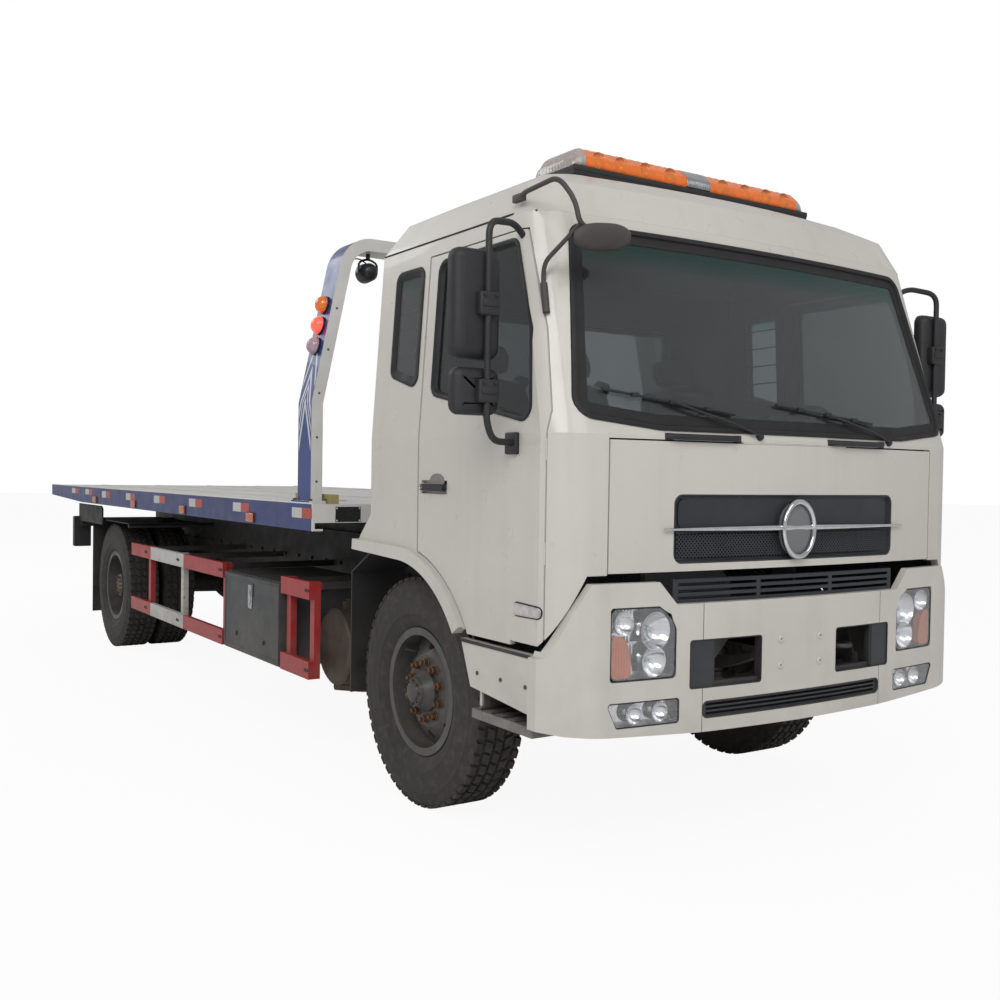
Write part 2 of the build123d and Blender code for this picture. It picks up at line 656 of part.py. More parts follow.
# Mudguards: arches with rear flaps at the front, plates with flaps at the rear
with BuildPart() as mudguards:
    for side in (-1, 1):
        arch_inner = arch_radius - 6
        arch_outer = arch_inner + 10
        with BuildSketch(Plane.YZ.offset(side * 790)) as arch:
            with BuildLine():
                ThreePointArc(arc_point(20, arch_inner), arc_point(55, arch_inner), arc_point(90, arch_inner))
                Polyline(arc_point(90, arch_inner), (behind_axle(400), arc_point(90, arch_inner)[1]),
                         (behind_axle(592), 985), (behind_axle(592), 400), (behind_axle(602), 400),
                         (behind_axle(602), 990), (behind_axle(404), arc_point(90, arch_outer)[1]),
                         arc_point(90, arch_outer))
                ThreePointArc(arc_point(90, arch_outer), arc_point(55, arch_outer), arc_point(20, arch_outer))
                Line(arc_point(20, arch_outer), arc_point(20, arch_inner))
            make_face()
        extrude(arch.sketch, amount=side * 290)
        for bar_y, bar_z in ((behind_axle(-484), 866), (behind_axle(600), 860)):
            bar_x(side * (rail_outer_x + seat_gap), side * 800, bar_y, bar_z, 16)
        block((min(side * 560, side * 1125), max(side * 560, side * 1125)),
              (behind_axle(4440), behind_axle(5560)), (1036, 1044))
        block((min(side * 560, side * 1125), max(side * 560, side * 1125)),
              (behind_axle(5552), behind_axle(5560)), (230, 1040))
        for bar_y in (behind_axle(4480), behind_axle(5530)):
            bar_x(side * (rail_outer_x + seat_gap), side * 1110, bar_y, 1020, 17)
mudguards.part.label = "mudguards"

# Silencer drum, with its pipe towards the engine
with BuildPart() as silencer:
    drum_y, drum_z = behind_axle(930), 567
    with BuildSketch(Plane.YZ.offset(-1020)) as drum:
        with Locations((drum_y, drum_z)):
            Circle(195)
    extrude(drum.sketch, amount=450)
    fillet(silencer.edges().filter_by(GeomType.CIRCLE), radius=24)
    for strap_x in (-930, -660):
        block((strap_x - 25, strap_x + 25), (drum_y - 20, drum_y + 20), (drum_z + 150, 800))
    block((-940, -rail_outer_x - seat_gap), (drum_y - 20, drum_y + 20), (780, 810))
silencer.part.label = "silencer"

# Fuel tank on the left, with its brackets
with BuildPart() as fuel_tank:
    block((590, 1110), (behind_axle(1150), behind_axle(2350)), (440, 900))
    fillet(fuel_tank.edges().filter_by(Axis.Y), radius=70)
    for bracket_y in (behind_axle(1400), behind_axle(2100)):
        block((rail_outer_x + seat_gap, 620), (bracket_y - 30, bracket_y + 30), (700, 780))
    with Locations((900, behind_axle(1500), 905)):
        Cylinder(45, 40)
fuel_tank.part.label = "fuel_tank"

# Toolbox on the right: an open case and a door hinged at its foot
toolbox_front_y, toolbox_rear_y = behind_axle(1275), behind_axle(2125)
toolbox_low_z, toolbox_high_z = 418, 872
toolbox_outer_x = -1170
toolbox_wall = 12
toolbox_door_thickness = 18
with BuildPart() as toolbox:
    case_x = toolbox_outer_x + toolbox_door_thickness + seat_gap
    block((case_x, -600), (toolbox_front_y, toolbox_rear_y), (toolbox_low_z, toolbox_high_z))
    block((case_x - 5, -600 - toolbox_wall), (toolbox_front_y + toolbox_wall, toolbox_rear_y - toolbox_wall),
          (toolbox_low_z + toolbox_wall, toolbox_high_z - toolbox_wall), mode=Mode.SUBTRACT)
    for bracket_y in (toolbox_front_y + 150, toolbox_rear_y - 150):
        block((-602, -rail_outer_x - seat_gap), (bracket_y - 30, bracket_y + 30), (720, 800))
toolbox.part.label = "toolbox"

with BuildPart() as toolbox_door:
    block((toolbox_outer_x, toolbox_outer_x + toolbox_door_thickness),
          (toolbox_front_y + 6, toolbox_rear_y - 6), (toolbox_low_z + 6, toolbox_high_z - 6))
    bar_between((toolbox_outer_x + 6, toolbox_front_y + 6, toolbox_low_z + 6),
                (toolbox_outer_x + 6, toolbox_rear_y - 6, toolbox_low_z + 6), 6)
    for latch_y in ((toolbox_front_y + toolbox_rear_y) / 2,):
        block((toolbox_outer_x - 5, toolbox_outer_x + 2), (latch_y - 45, latch_y + 45),
              (toolbox_high_z - 110, toolbox_high_z - 40))
toolbox_door.part.label = "toolbox_door"

# Side guards: two rails on posts, each side
guard_outer_x = 1175
with BuildPart() as side_guards:
    for side, runs in ((-1, ((885, 1250, (910, 1210)), (2150, 4150, (2190, 3013, 3768)))),
                       (1, ((885, 1100, (900, 1060)), (2400, 4150, (2440, 3013, 3768))))):
        for run_from, run_to, posts in runs:
            for low_z in (418, 822):
                block((min(side * guard_outer_x, side * (guard_outer_x - 30)),
                       max(side * guard_outer_x, side * (guard_outer_x - 30))),
                      (behind_axle(run_from), behind_axle(run_to)), (low_z, low_z + 90))
            for post_y in posts:
                block((min(side * (guard_outer_x - 30), side * (guard_outer_x - 65)),
                       max(side * (guard_outer_x - 30), side * (guard_outer_x - 65))),
                      (behind_axle(post_y - 25), behind_axle(post_y + 25)), (418, 912))
                block((min(side * (rail_outer_x + seat_gap), side * (guard_outer_x - 40)),
                       max(side * (rail_outer_x + seat_gap), side * (guard_outer_x - 40))),
                      (behind_axle(post_y - 20), behind_axle(post_y + 20)), (870, 905))
side_guards.part.label = "side_guards"

# Subframe on the rails, with the rear bolster, side plates and tilt hinge pins
with BuildPart() as subframe:
    beam_top_z = tilt_top_z - tilt_beam_height - slide_gap
    for side in (-1, 1):
        side_prism([(behind_axle(640), rail_top_z + seat_gap), (behind_axle(760), beam_top_z),
                    (tilt_hinge_y - 90, beam_top_z), (tilt_hinge_y - 90, 1085),
                    (tilt_hinge_y + 45, 1085), (tilt_hinge_y + 45, 980),
                    (rail_rear_y, rail_top_z + seat_gap)],
                   side * 405, side * rail_outer_x)
        side_prism([(behind_axle(640), rail_top_z + seat_gap), (behind_axle(760), beam_top_z),
                    (tilt_hinge_y - 90, beam_top_z), (tilt_hinge_y - 90, rail_top_z + seat_gap)],
                   side * 340, side * 405)
        bar_x(side * 300, side * 420, tilt_hinge_y, tilt_hinge_z, tilt_pin_radius)
        side_prism([(behind_axle(5149), 1130), (behind_axle(5190), 1155), (tilt_hinge_y - 60, 1155),
                    (tilt_hinge_y - 60, 1000), (behind_axle(5149), 1000)],
                   side * 1138, side * 1150)
        block((min(side * 420, side * 1140), max(side * 420, side * 1140)),
              (tilt_hinge_y - 120, tilt_hinge_y - 60), (950, 1010))
    for cross_y in (behind_axle(900), behind_axle(2300), behind_axle(3500), behind_axle(4900)):
        block((-345, 345), (cross_y - 30, cross_y + 30), (970, 1040))
    for side in (-1, 1):
        # lift cylinder brackets hang from the cross member above them
        block((side * lift_x - 60, side * lift_x + 60), (lift_barrel_y - 100, lift_barrel_y - 70),
              (700, 1040))
        block((min(side * lift_x, side * 345) - 60, max(side * lift_x, side * 345)),
              (lift_barrel_y - 100, lift_barrel_y - 70), (rail_top_z + 20, 1040))
        for ear_x in (side * lift_x - 60, side * lift_x + 48):
            side_prism([(lift_barrel_y - 75, 700), (lift_barrel_y - 75, 820), (lift_barrel_y + 30, 790),
                        (lift_barrel_y + 30, 730)], ear_x, ear_x + 12)
        bar_x(side * lift_x - 52, side * lift_x + 52, lift_barrel_y, lift_barrel_z, 18)
subframe.part.label = "subframe"

# Tail lamps
with BuildPart() as tail_lamps:
    for side in (-1, 1):
        block((min(side * 1045, side * 1190), max(side * 1045, side * 1190)),
              (tilt_hinge_y - 60 + seat_gap, tilt_hinge_y), (767, 1038))
        fillet(tail_lamps.edges().filter_by(Axis.Y).group_by(Axis.Y)[-1], radius=10)
tail_lamps.part.label = "tail_lamps"

# Lift cylinders
lift_run = hypot(lift_eye_y - lift_barrel_y, lift_eye_z - lift_barrel_z)
lift_dir = ((lift_eye_y - lift_barrel_y) / lift_run, (lift_eye_z - lift_barrel_z) / lift_run)


def along_lift(x, distance):
    """A point on a lift cylinder's axis, this far from its barrel's pin."""
    return (x, lift_barrel_y + lift_dir[0] * distance, lift_barrel_z + lift_dir[1] * distance)


with BuildPart() as lift_barrels:
    for side in (-1, 1):
        x = side * lift_x
        bar_x(x - 40, x + 40, lift_barrel_y, lift_barrel_z, 36)
        bar_between(along_lift(x, 30), along_lift(x, lift_run - 150), lift_barrel_radius)
        bar_x(x - 42, x + 42, lift_barrel_y, lift_barrel_z, 18 + pin_gap, mode=Mode.SUBTRACT)
        bar_between(along_lift(x, lift_closed_tail), along_lift(x, lift_run - 100),
                    lift_rod_radius + pin_gap, mode=Mode.SUBTRACT)
lift_barrels.part.label = "lift_barrels"

with BuildPart() as lift_rods:
    for side in (-1, 1):
        x = side * lift_x
        bar_between(along_lift(x, lift_closed_tail + 10), along_lift(x, lift_run - 12), lift_rod_radius)
        bar_x(x - 35, x + 35, lift_eye_y, lift_eye_z, 32)
        bar_x(x - 37, x + 37, lift_eye_y, lift_eye_z, 16, mode=Mode.SUBTRACT)
lift_rods.part.label = "lift_rods"

# Tilt frame
with BuildPart() as tilt_frame:
    beam_low_z = tilt_top_z - tilt_beam_height
    for side in (-1, 1):
        side_prism([(tilt_front_y, beam_low_z), (tilt_front_y, tilt_top_z), (tilt_hinge_y + 55, tilt_top_z),
                    (tilt_hinge_y + 55, beam_low_z)],
                   side * (tilt_beam_outer_x - tilt_beam_width), side * tilt_beam_outer_x)
        side_prism([(tilt_hinge_y - 50, beam_low_z + 5), (tilt_hinge_y - 40, tilt_hinge_z - 10),
                    (tilt_hinge_y - 20, tilt_hinge_z - 42), (tilt_hinge_y + 20, tilt_hinge_z - 42),
                    (tilt_hinge_y + 40, tilt_hinge_z - 10), (tilt_hinge_y + 50, beam_low_z + 5)],
                   side * 336, side * 396)
        bar_x(side * 330, side * 402, tilt_hinge_y, tilt_hinge_z, tilt_pin_radius + pin_gap,
              mode=Mode.SUBTRACT)
        # lugs round the lift rods' eyes, on their cross member
        for ear_x in (side * lift_x - 54, side * lift_x + 42):
            side_prism([(lift_eye_y + 100, tilt_top_z - 20), (lift_eye_y - 30, tilt_top_z - 20),
                        (lift_eye_y - 30, lift_eye_z - 35), (lift_eye_y + 30, lift_eye_z - 35),
                        (lift_eye_y + 100, beam_low_z + 5)],
                       ear_x, ear_x + 12)
            bar_x(ear_x - 2, ear_x + 14, lift_eye_y, lift_eye_z, 16, mode=Mode.SUBTRACT)
    inner_x = tilt_beam_outer_x - tilt_beam_width + 1
    for cross_y in (tilt_front_y + 40, behind_axle(1900), behind_axle(2900), behind_axle(3700),
                    tilt_hinge_y - 300):
        block((-inner_x, inner_x), (cross_y - 30, cross_y + 30), (beam_low_z, tilt_top_z - 10))
    block((-inner_x, inner_x), (lift_eye_y + 85, lift_eye_y + 145), (beam_low_z, tilt_top_z - 10))
    block((-inner_x, inner_x), (lift_eye_y - 60, lift_eye_y + 100), (tilt_top_z - 26, tilt_top_z - 12))
    # slide rod's bracket
    block((-26, 26), (tilt_front_y + 15, tilt_front_y + 65), (tilt_top_z - 20, 1262))
tilt_frame.part.label = "tilt_frame"

slide_axis_z = 1232
slide_rod_start = tilt_front_y + 65
slide_barrel_start = slide_rod_start + 60
slide_barrel_length = slide_stroke + 160
with BuildPart() as slide_rod:
    bar_between((0, slide_rod_start + seat_gap, slide_axis_z),
                (0, slide_barrel_start + slide_barrel_length - 60, slide_axis_z), slide_rod_radius)
slide_rod.part.label = "slide_rod"

with BuildPart() as slide_barrel:
    bar_between((0, slide_barrel_start, slide_axis_z),
                (0, slide_barrel_start + slide_barrel_length, slide_axis_z), slide_barrel_radius)
    bar_between((0, slide_barrel_start - 5, slide_axis_z),
                (0, slide_barrel_start + slide_barrel_length - 30, slide_axis_z),
                slide_rod_radius + pin_gap, mode=Mode.SUBTRACT)
slide_barrel.part.label = "slide_barrel"

# Bed: deck, side rails, runners and cross members
with BuildPart() as bed:
    deck_low_z = bed_top_z - deck_thickness
    tail_kink_y = rear_axle_y + 500
    block((-bed_half_width + 5, bed_half_width - 5), (bed_front_y, tail_y), (deck_low_z, bed_top_z))
    for side in (-1, 1):
        side_prism([(bed_front_y, bed_skirt_z), (bed_front_y, bed_top_z), (tail_y, bed_top_z),
                    (tail_y, bed_tail_skirt_z), (tail_kink_y, bed_skirt_z)],
                   side * bed_half_width, side * (bed_half_width - 12))
        for rail_low, rail_high in ((bed_skirt_z, bed_skirt_z + 10),):
            side_prism([(bed_front_y, rail_low), (bed_front_y, rail_high), (tail_kink_y, rail_high),
                        (tail_kink_y, rail_low)],
                       side * bed_half_width, side * (bed_half_width - 55))
        runner_low_z = tilt_top_z + slide_gap
        block((min(side * runner_outer_x, side * (runner_outer_x - runner_width)),
               max(side * runner_outer_x, side * (runner_outer_x - runner_width))),
              (bed_front_y + 60, tail_y - 250), (runner_low_z, deck_low_z + 1))
        cross_count = 14
        for index in range(cross_count):
            cross_y = bed_front_y + 220 + index * (tail_y - bed_front_y - 500) / (cross_count - 1)
            block((min(side * (runner_outer_x - 2), side * (bed_half_width - 10)),
                   max(side * (runner_outer_x - 2), side * (bed_half_width - 10))),
                  (cross_y - 25, cross_y + 25), (bed_tail_skirt_z, deck_low_z + 1))
    block((-bed_half_width, bed_half_width), (bed_front_y, bed_front_y + 12), (bed_skirt_z + 40, bed_top_z))
    block((-60, 60), (bed_front_y - 5, bed_front_y + 20), (bed_skirt_z, slide_axis_z + 50),
          mode=Mode.SUBTRACT)
    block((-bed_half_width, bed_half_width), (tail_y - 14, tail_y), (bed_tail_skirt_z, bed_top_z))
    for saddle_y in (slide_barrel_start + 120, slide_barrel_start + slide_barrel_length - 80):
        block((-48, 48), (saddle_y - 20, saddle_y + 20), (slide_axis_z + 10, deck_low_z + 1))
    with BuildPart(mode=Mode.PRIVATE) as barrel_bore:
        bar_between((0, slide_barrel_start - 10, slide_axis_z),
                    (0, slide_barrel_start + slide_barrel_length + 10, slide_axis_z),
                    slide_barrel_radius + seat_gap)
    add(barrel_bore.part, mode=Mode.SUBTRACT)
bed.part.label = "bed"

# Gantry at the front of the bed: leaning posts that bend into the bar across
gantry_y = behind_axle(905)
gantry_depth = 160


def gantry_bend(side, radius):
    """Start, middle and end of the round corner at one side, at a radius about its centre."""
    centre_x, centre_z = gantry_half_width - 328, gantry_top_z - gantry_bend_radius
    angles = (gantry_lean, (gantry_lean + 90) / 2, 90)
    return [(side * (centre_x + radius * cos(radians(angle))), centre_z + radius * sin(radians(angle)))
            for angle in angles]


with BuildPart() as gantry:
    base_z = bed_top_z + seat_gap
    inner_half, inner_radius = gantry_half_width - gantry_width, gantry_bend_radius - gantry_width
    with BuildSketch(Plane.XZ.offset(-gantry_y + gantry_depth / 2)) as arch:
        with BuildLine():
            for half, radius, knee_z in ((gantry_half_width, gantry_bend_radius, gantry_knee_z),
                                         (inner_half, inner_radius, gantry_knee_z - 6)):
                left, right = gantry_bend(-1, radius), gantry_bend(1, radius)
                Polyline((-half, base_z), (-half, knee_z), left[0])
                ThreePointArc(*left)
                Line(left[2], right[2])
                ThreePointArc(*right)
                Polyline(right[0], (half, knee_z), (half, base_z))
            for side in (-1, 1):
                Line((side * gantry_half_width, base_z), (side * inner_half, base_z))
        make_face()
    extrude(arch.sketch, amount=-gantry_depth)
    for side in (-1, 1):
        foot_in, foot_out = side * (gantry_half_width - 70), side * (gantry_half_width + 22)
        block((min(foot_in, foot_out), max(foot_in, foot_out)), (gantry_y - 110, gantry_y + 110), (bed_top_z + seat_gap, bed_top_z + 14))
gantry.part.label = "gantry"

# Round lamps on the gantry's sides and the work lamps below its bar
gantry_lamp_radius = 44
with BuildPart() as gantry_lamps:
    slope_x = sin(radians(gantry_lean)) / cos(radians(gantry_lean))
    for side in (-1, 1):
        for lamp_z in (2100, 2205, 2310):
            face_x = gantry_half_width - (lamp_z - gantry_knee_z) * slope_x + seat_gap
            start = (side * face_x, gantry_y, lamp_z)
            end = (side * (face_x + 30), gantry_y, lamp_z + 30 * slope_x)
            bar_between(start, end, gantry_lamp_radius)
        lamp_x = side * (gantry_half_width - 342)
        block((lamp_x - 42, lamp_x + 42), (gantry_y - 45, gantry_y + 45), (2455, 2560))
        block((lamp_x - 8, lamp_x + 8), (gantry_y - 20, gantry_y + 20),
              (2558, gantry_top_z - gantry_width - seat_gap))
gantry_lamps.part.label = "gantry_lamps"

# Winch: frame and rope drum
winch_y = behind_axle(1180)
winch_z = bed_top_z + 150
drum_half = 230
with BuildPart() as winch_frame:
    block((-drum_half - 60, drum_half + 60), (winch_y - 130, winch_y + 130),
          (bed_top_z + seat_gap, bed_top_z + 16))
    for side in (-1, 1):
        side_prism([(winch_y - 110, bed_top_z + 10), (winch_y - 60, winch_z + 70),
                    (winch_y + 60, winch_z + 70), (winch_y + 110, bed_top_z + 10)],
                   side * (drum_half + 8), side * (drum_half + 26))
        bar_x(side * (drum_half - 20), side * (drum_half + 20), winch_y, winch_z, 24)
    bar_x(drum_half + 20, drum_half + 170, winch_y, winch_z, 62)
winch_frame.part.label = "winch_frame"

with BuildPart() as winch_drum:
    with BuildSketch(Plane.XY.offset(winch_z)) as drum_section:
        with BuildLine():
            Polyline((-drum_half, winch_y + 24 + pin_gap), (-drum_half, winch_y + 105),
                     (-drum_half + 12, winch_y + 105), (-drum_half + 12, winch_y + 78),
                     (drum_half - 12, winch_y + 78), (drum_half - 12, winch_y + 105),
                     (drum_half, winch_y + 105), (drum_half, winch_y + 24 + pin_gap), close=True)
        make_face()
    revolve(drum_section.sketch, axis=Axis((0, winch_y, winch_z), (1, 0, 0)))
winch_drum.part.label = "winch_drum"

# Stowed bars on the deck, beside the gantry's posts
with BuildPart() as deck_bars:
    for side in (-1, 1):
        block((side * 1100 - 23, side * 1100 + 23), (behind_axle(760), behind_axle(1190)),
              (bed_top_z + seat_gap, bed_top_z + 46))
deck_bars.part.label = "deck_bars"


# Cab shell: skin, floor, firewall and rear wheel arch, with all its openings
def door_cut(side, gap, mode):
    """The space of one door, seen from the side, with the arch taken from its lower rear corner."""
    with BuildPart(mode=Mode.PRIVATE) as space:
        side_prism(door_outline(gap), side * 965, side * 1300)
        bar_x(side * 950, side * 1310, front_axle_y, tyre_radius, door_arch_radius + gap, mode=Mode.SUBTRACT)
    add(space.part, mode=mode)


with BuildPart() as cab_shell:
    cab_skin(0, cab_wall)
    with BuildPart(mode=Mode.PRIVATE) as skirt_cut:
        front_prism(cab_skirt_outline, cab_front_y - 50, behind_axle(-150))
    add(skirt_cut.part, mode=Mode.SUBTRACT)
    block((-1090, 1090), (behind_axle(-160), cab_rear_y + 50), (700, cab_floor_z), mode=Mode.SUBTRACT)
    block((-1300, 1300), (behind_axle(-160), cab_rear_y + 50), (700, arc_point(90, arch_radius)[1] + 6),
          mode=Mode.SUBTRACT)
    # floor, firewall and the tail of the wheel arch
    with BuildPart(mode=Mode.PRIVATE) as floor_part:
        cab_volume(cab_wall - 1, cab_floor_z)
        block((-1300, 1300), (cab_front_y, cab_rear_y), (cab_floor_z, cab_floor_z + cab_floor_thickness),
              mode=Mode.INTERSECT)
    add(floor_part.part)
    with BuildPart(mode=Mode.PRIVATE) as firewall:
        cab_volume(cab_wall - 1, cab_floor_z)
        block((-1300, 1300), (cab_front_y + 105, cab_front_y + 120), (cab_floor_z, 1652), mode=Mode.INTERSECT)
    add(firewall.part)
    with BuildPart(mode=Mode.PRIVATE) as cowl:
        cab_volume(cab_wall - 1, cab_floor_z)
        block((-1300, 1300), (cab_front_y, cab_front_y + 120), (1606, 1640), mode=Mode.INTERSECT)
    add(cowl.part)
    for side in (-1, 1):
        side_prism([(cab_rear_y - 60, 1120), (cab_rear_y + 145, 1120), (cab_rear_y + 100, 1180),
                    (cab_rear_y - 20, 1297), (cab_rear_y - 60, 1297)],
                   side * (cab_half_width - 130), side * cab_half_width)
        with BuildSketch(Plane.YZ.offset(side * (cab_half_width - flare_width))) as flare:
            with BuildLine():
                ThreePointArc(arc_point(34, arch_radius), arc_point(62, arch_radius), arc_point(90, arch_radius))
                Polyline(arc_point(90, arch_radius), (cab_rear_y + 145, 1112), (cab_rear_y + 140, 1160),
                         arc_point(90, arch_radius + flare_width))
                ThreePointArc(arc_point(90, arch_radius + flare_width), arc_point(62, arch_radius + flare_width),
                              arc_point(34, arch_radius + flare_width))
                Line(arc_point(34, arch_radius + flare_width), arc_point(34, arch_radius))
            make_face()
        extrude(flare.sketch, amount=side * (flare_width + flare_out))
        bar_x(side * 900, side * 1310, front_axle_y, tyre_radius, arch_radius, mode=Mode.SUBTRACT)
        # hinge arms
        side_prism([(cab_pivot_y - 28, cab_pivot_z - 28), (cab_pivot_y - 28, cab_pivot_z + 28),
                    (behind_axle(-800), 850), (behind_axle(-800), cab_floor_z + 2),
                    (behind_axle(-680), cab_floor_z + 2), (behind_axle(-680), 780),
                    (behind_axle(-760), 730)],
                   side * (rail_outer_x + 12), side * (rail_outer_x + 34))
        bar_x(side * (rail_outer_x + 5), side * (rail_outer_x + 40), cab_pivot_y, cab_pivot_z,
              cab_pin_radius + pin_gap, mode=Mode.SUBTRACT)
        # door and window openings
        door_cut(side, 0, Mode.SUBTRACT)
        side_prism(quarter_window_outline(0), side * 1000, side * 1300, mode=Mode.SUBTRACT, radius=40)
    front_prism([(-front_panel_half - panel_gap, 1606), (front_panel_half + panel_gap, 1606),
                 (front_panel_half + panel_gap, 1000), (-front_panel_half - panel_gap, 1000)],
                cab_front_y - 10, cab_front_y + 101, mode=Mode.SUBTRACT)
    # hinge rod and rest buffers of the front panel
    bar_x(-300, 300, cab_front_y + 3, panel_top_z + 3, 2.6)
    block((-300, 300), (cab_front_y + 4, cab_front_y + 20), (panel_top_z + 3, 1608))
    with BuildPart(mode=Mode.PRIVATE) as buffers:
        cab_volume(front_panel_wall + seat_gap, cab_floor_z)
        with BuildPart(mode=Mode.PRIVATE) as buffer_space:
            for side in (-1, 1):
                block((side * 760 - 25, side * 760 + 25), (cab_front_y, cab_front_y + 110), (1180, 1230))
        add(buffer_space.part, mode=Mode.INTERSECT)
    add(buffers.part)
    front_prism(windscreen_outline(0), cab_front_y - 10, cab_front_y + 330, mode=Mode.SUBTRACT, radius=60)
    front_prism(rear_window_outline(0), cab_rear_y - 80, cab_rear_y + 10, mode=Mode.SUBTRACT, radius=50)
cab_shell.part.label = "cab_shell"

# Windscreen, quarter windows and rear window
with BuildPart() as cab_glass:
    with BuildPart(mode=Mode.PRIVATE) as pane_skin:
        cab_volume(glass_inset, cab_floor_z)
        cab_volume(glass_inset + glass_thickness, cab_floor_z - 20, mode=Mode.SUBTRACT)
    with BuildPart(mode=Mode.PRIVATE) as pane_space:
        front_prism(windscreen_outline(seat_gap), cab_front_y - 10, cab_front_y + 330, radius=60)
        front_prism(rear_window_outline(seat_gap), cab_rear_y - 80, cab_rear_y + 10, radius=50)
        for side in (-1, 1):
            side_prism(quarter_window_outline(seat_gap), side * 1000, side * 1300, radius=40)
    add(pane_skin.part)
    add(pane_space.part, mode=Mode.INTERSECT)
cab_glass.part.label = "cab_glass"

# Roof with rounded shoulders
def roof_form(inset, mode=Mode.ADD):
    """The roof's form above the seam, drawn in by inset."""
    roof_low_z = roof_seam_z + seat_gap
    layers = []
    for layer_z, half_width, back, front_half, corner, rear_back in (
            (roof_low_z, cab_top_half_width, 0, cab_edge_half - 55, 145, 0),
            (2580 - 0.5 * inset, cab_half_width - 120, 45, cab_edge_half - 135, 150, 110),
            (roof_top_z - inset, cab_half_width - 270, 170, cab_edge_half - 265, 130, 290)):
        with BuildSketch(Plane.XY.offset(layer_z)) as layer:
            with BuildLine():
                plan_outline(half_width, cab_front_y + windscreen_rake + back, cab_front_bow, front_half,
                             corner, cab_rear_y - rear_back, inset)
            make_face()
        layers.append(layer.sketch)
    with BuildPart(mode=Mode.PRIVATE) as form:
        loft(layers, ruled=True)
    add(form.part, mode=mode)


with BuildPart() as cab_roof:
    roof_form(0)
    roof_form(cab_wall, mode=Mode.SUBTRACT)
cab_roof.part.label = "cab_roof"


def door(side):
    """One door, as thick as the wall, with its window cut and its handle's recess."""
    with BuildPart() as piece:
        cab_skin(0, cab_wall)
        door_cut(side, panel_gap, Mode.INTERSECT)
        side_prism(door_window_outline(0), side * 1000, side * 1300, mode=Mode.SUBTRACT, radius=45)
        with BuildPart(mode=Mode.PRIVATE) as skirt_cut:
            front_prism(cab_skirt_outline, cab_front_y - 20, behind_axle(-860))
        add(skirt_cut.part, mode=Mode.SUBTRACT)
        block((min(side * 1128, side * 1200), max(side * 1128, side * 1200)),
              (behind_axle(-397), behind_axle(-190)), (1385, 1440), mode=Mode.SUBTRACT)
        block((min(side * 1126, side * 1146), max(side * 1126, side * 1146)),
              (behind_axle(-385), behind_axle(-202)), (1398, 1422))
        for hinge_low_z in (1150, 1520):
            with Locations((side * door_hinge_x, door_front_y + panel_gap / 2, hinge_low_z + 40)):
                Cylinder(door_hinge_radius, 80)
            block((min(side * (door_hinge_x - 2.5), side * (door_hinge_x - 0.5)),
                   max(side * (door_hinge_x - 2.5), side * (door_hinge_x - 0.5))),
                  (door_front_y + panel_gap / 2, door_front_y + panel_gap + 2),
                  (hinge_low_z, hinge_low_z + 80))
    return piece


def door_glass(side):
    """The door's window pane."""
    with BuildPart() as piece:
        cab_volume(glass_inset + 10, cab_floor_z)
        cab_volume(glass_inset + 10 + glass_thickness, cab_floor_z - 20, mode=Mode.SUBTRACT)
        with BuildPart(mode=Mode.PRIVATE) as space:
            side_prism(door_window_outline(seat_gap), side * 1000, side * 1300, radius=45)
        add(space.part, mode=Mode.INTERSECT)
    return piece


def door_mirror(side):
    """Mirror arm on the door's front edge, with a tall main head and a small lower head."""
    tube_x = side * 1300
    with BuildPart() as piece:
        bar_between((side * 1070, behind_axle(-822), 2350), (tube_x, behind_axle(-875), 2356), 11)
        bar_between((tube_x, behind_axle(-875), 2366), (tube_x, behind_axle(-888), 1640), 11)
        bar_between((tube_x, behind_axle(-888), 1650), (side * 1100, behind_axle(-862), 1594), 11)
        block((min(side * 1100, side * (cab_half_width + 12)), max(side * 1100, side * (cab_half_width + 12))),
              (behind_axle(-895), behind_axle(-830)), (1550, 1618))
        cab_volume(-seat_gap, cab_floor_z, mode=Mode.SUBTRACT)
        block((min(side * 1228, side * 1428), max(side * 1228, side * 1428)),
              (behind_axle(-895), behind_axle(-835)), (1880, 2275))
        block((min(side * 1230, side * 1425), max(side * 1230, side * 1425)),
              (behind_axle(-895), behind_axle(-845)), (1680, 1850))
    return piece


door_right = door(-1)
door_right.part.label = "door_right"
door_left = door(1)
door_left.part.label = "door_left"
door_glass_right = door_glass(-1)
door_glass_right.part.label = "door_glass_right"
door_glass_left = door_glass(1)
door_glass_left.part.label = "door_glass_left"
mirrors_right = door_mirror(-1)
mirrors_right.part.label = "mirrors_right"
mirrors_left = door_mirror(1)
mirrors_left.part.label = "mirrors_left"

# Front panel with the grille recess, its mesh and the bright bar
grille_half = 635
grille_low_z, grille_high_z = 1146, 1405
with BuildPart() as front_panel:
    cab_skin(0, front_panel_wall)
    with BuildPart(mode=Mode.PRIVATE) as panel_space:
        front_prism([(-front_panel_half, cab_floor_z + 6), (-front_panel_half, panel_top_z),
                     (front_panel_half, panel_top_z),
                     (front_panel_half, cab_floor_z + 6)], cab_front_y - 10, cab_front_y + 200)
    add(panel_space.part, mode=Mode.INTERSECT)
    front_prism([(-grille_half, grille_low_z), (-grille_half, grille_high_z), (grille_half, grille_high_z),
                 (grille_half, grille_low_z)], cab_front_y - 10, cab_front_y + 200, mode=Mode.SUBTRACT,
                radius=38)
front_panel.part.label = "front_panel"

with BuildPart() as front_grille:
    cab_skin(16, 16)
    with BuildPart(mode=Mode.PRIVATE) as grille_space:
        front_prism([(-grille_half + 0.3, grille_low_z + 0.3), (-grille_half + 0.3, grille_high_z - 0.3),
                     (grille_half - 0.3, grille_high_z - 0.3), (grille_half - 0.3, grille_low_z + 0.3)],
                    cab_front_y - 10, cab_front_y + 200, radius=38)
    add(grille_space.part, mode=Mode.INTERSECT)
front_grille.part.label = "front_grille"

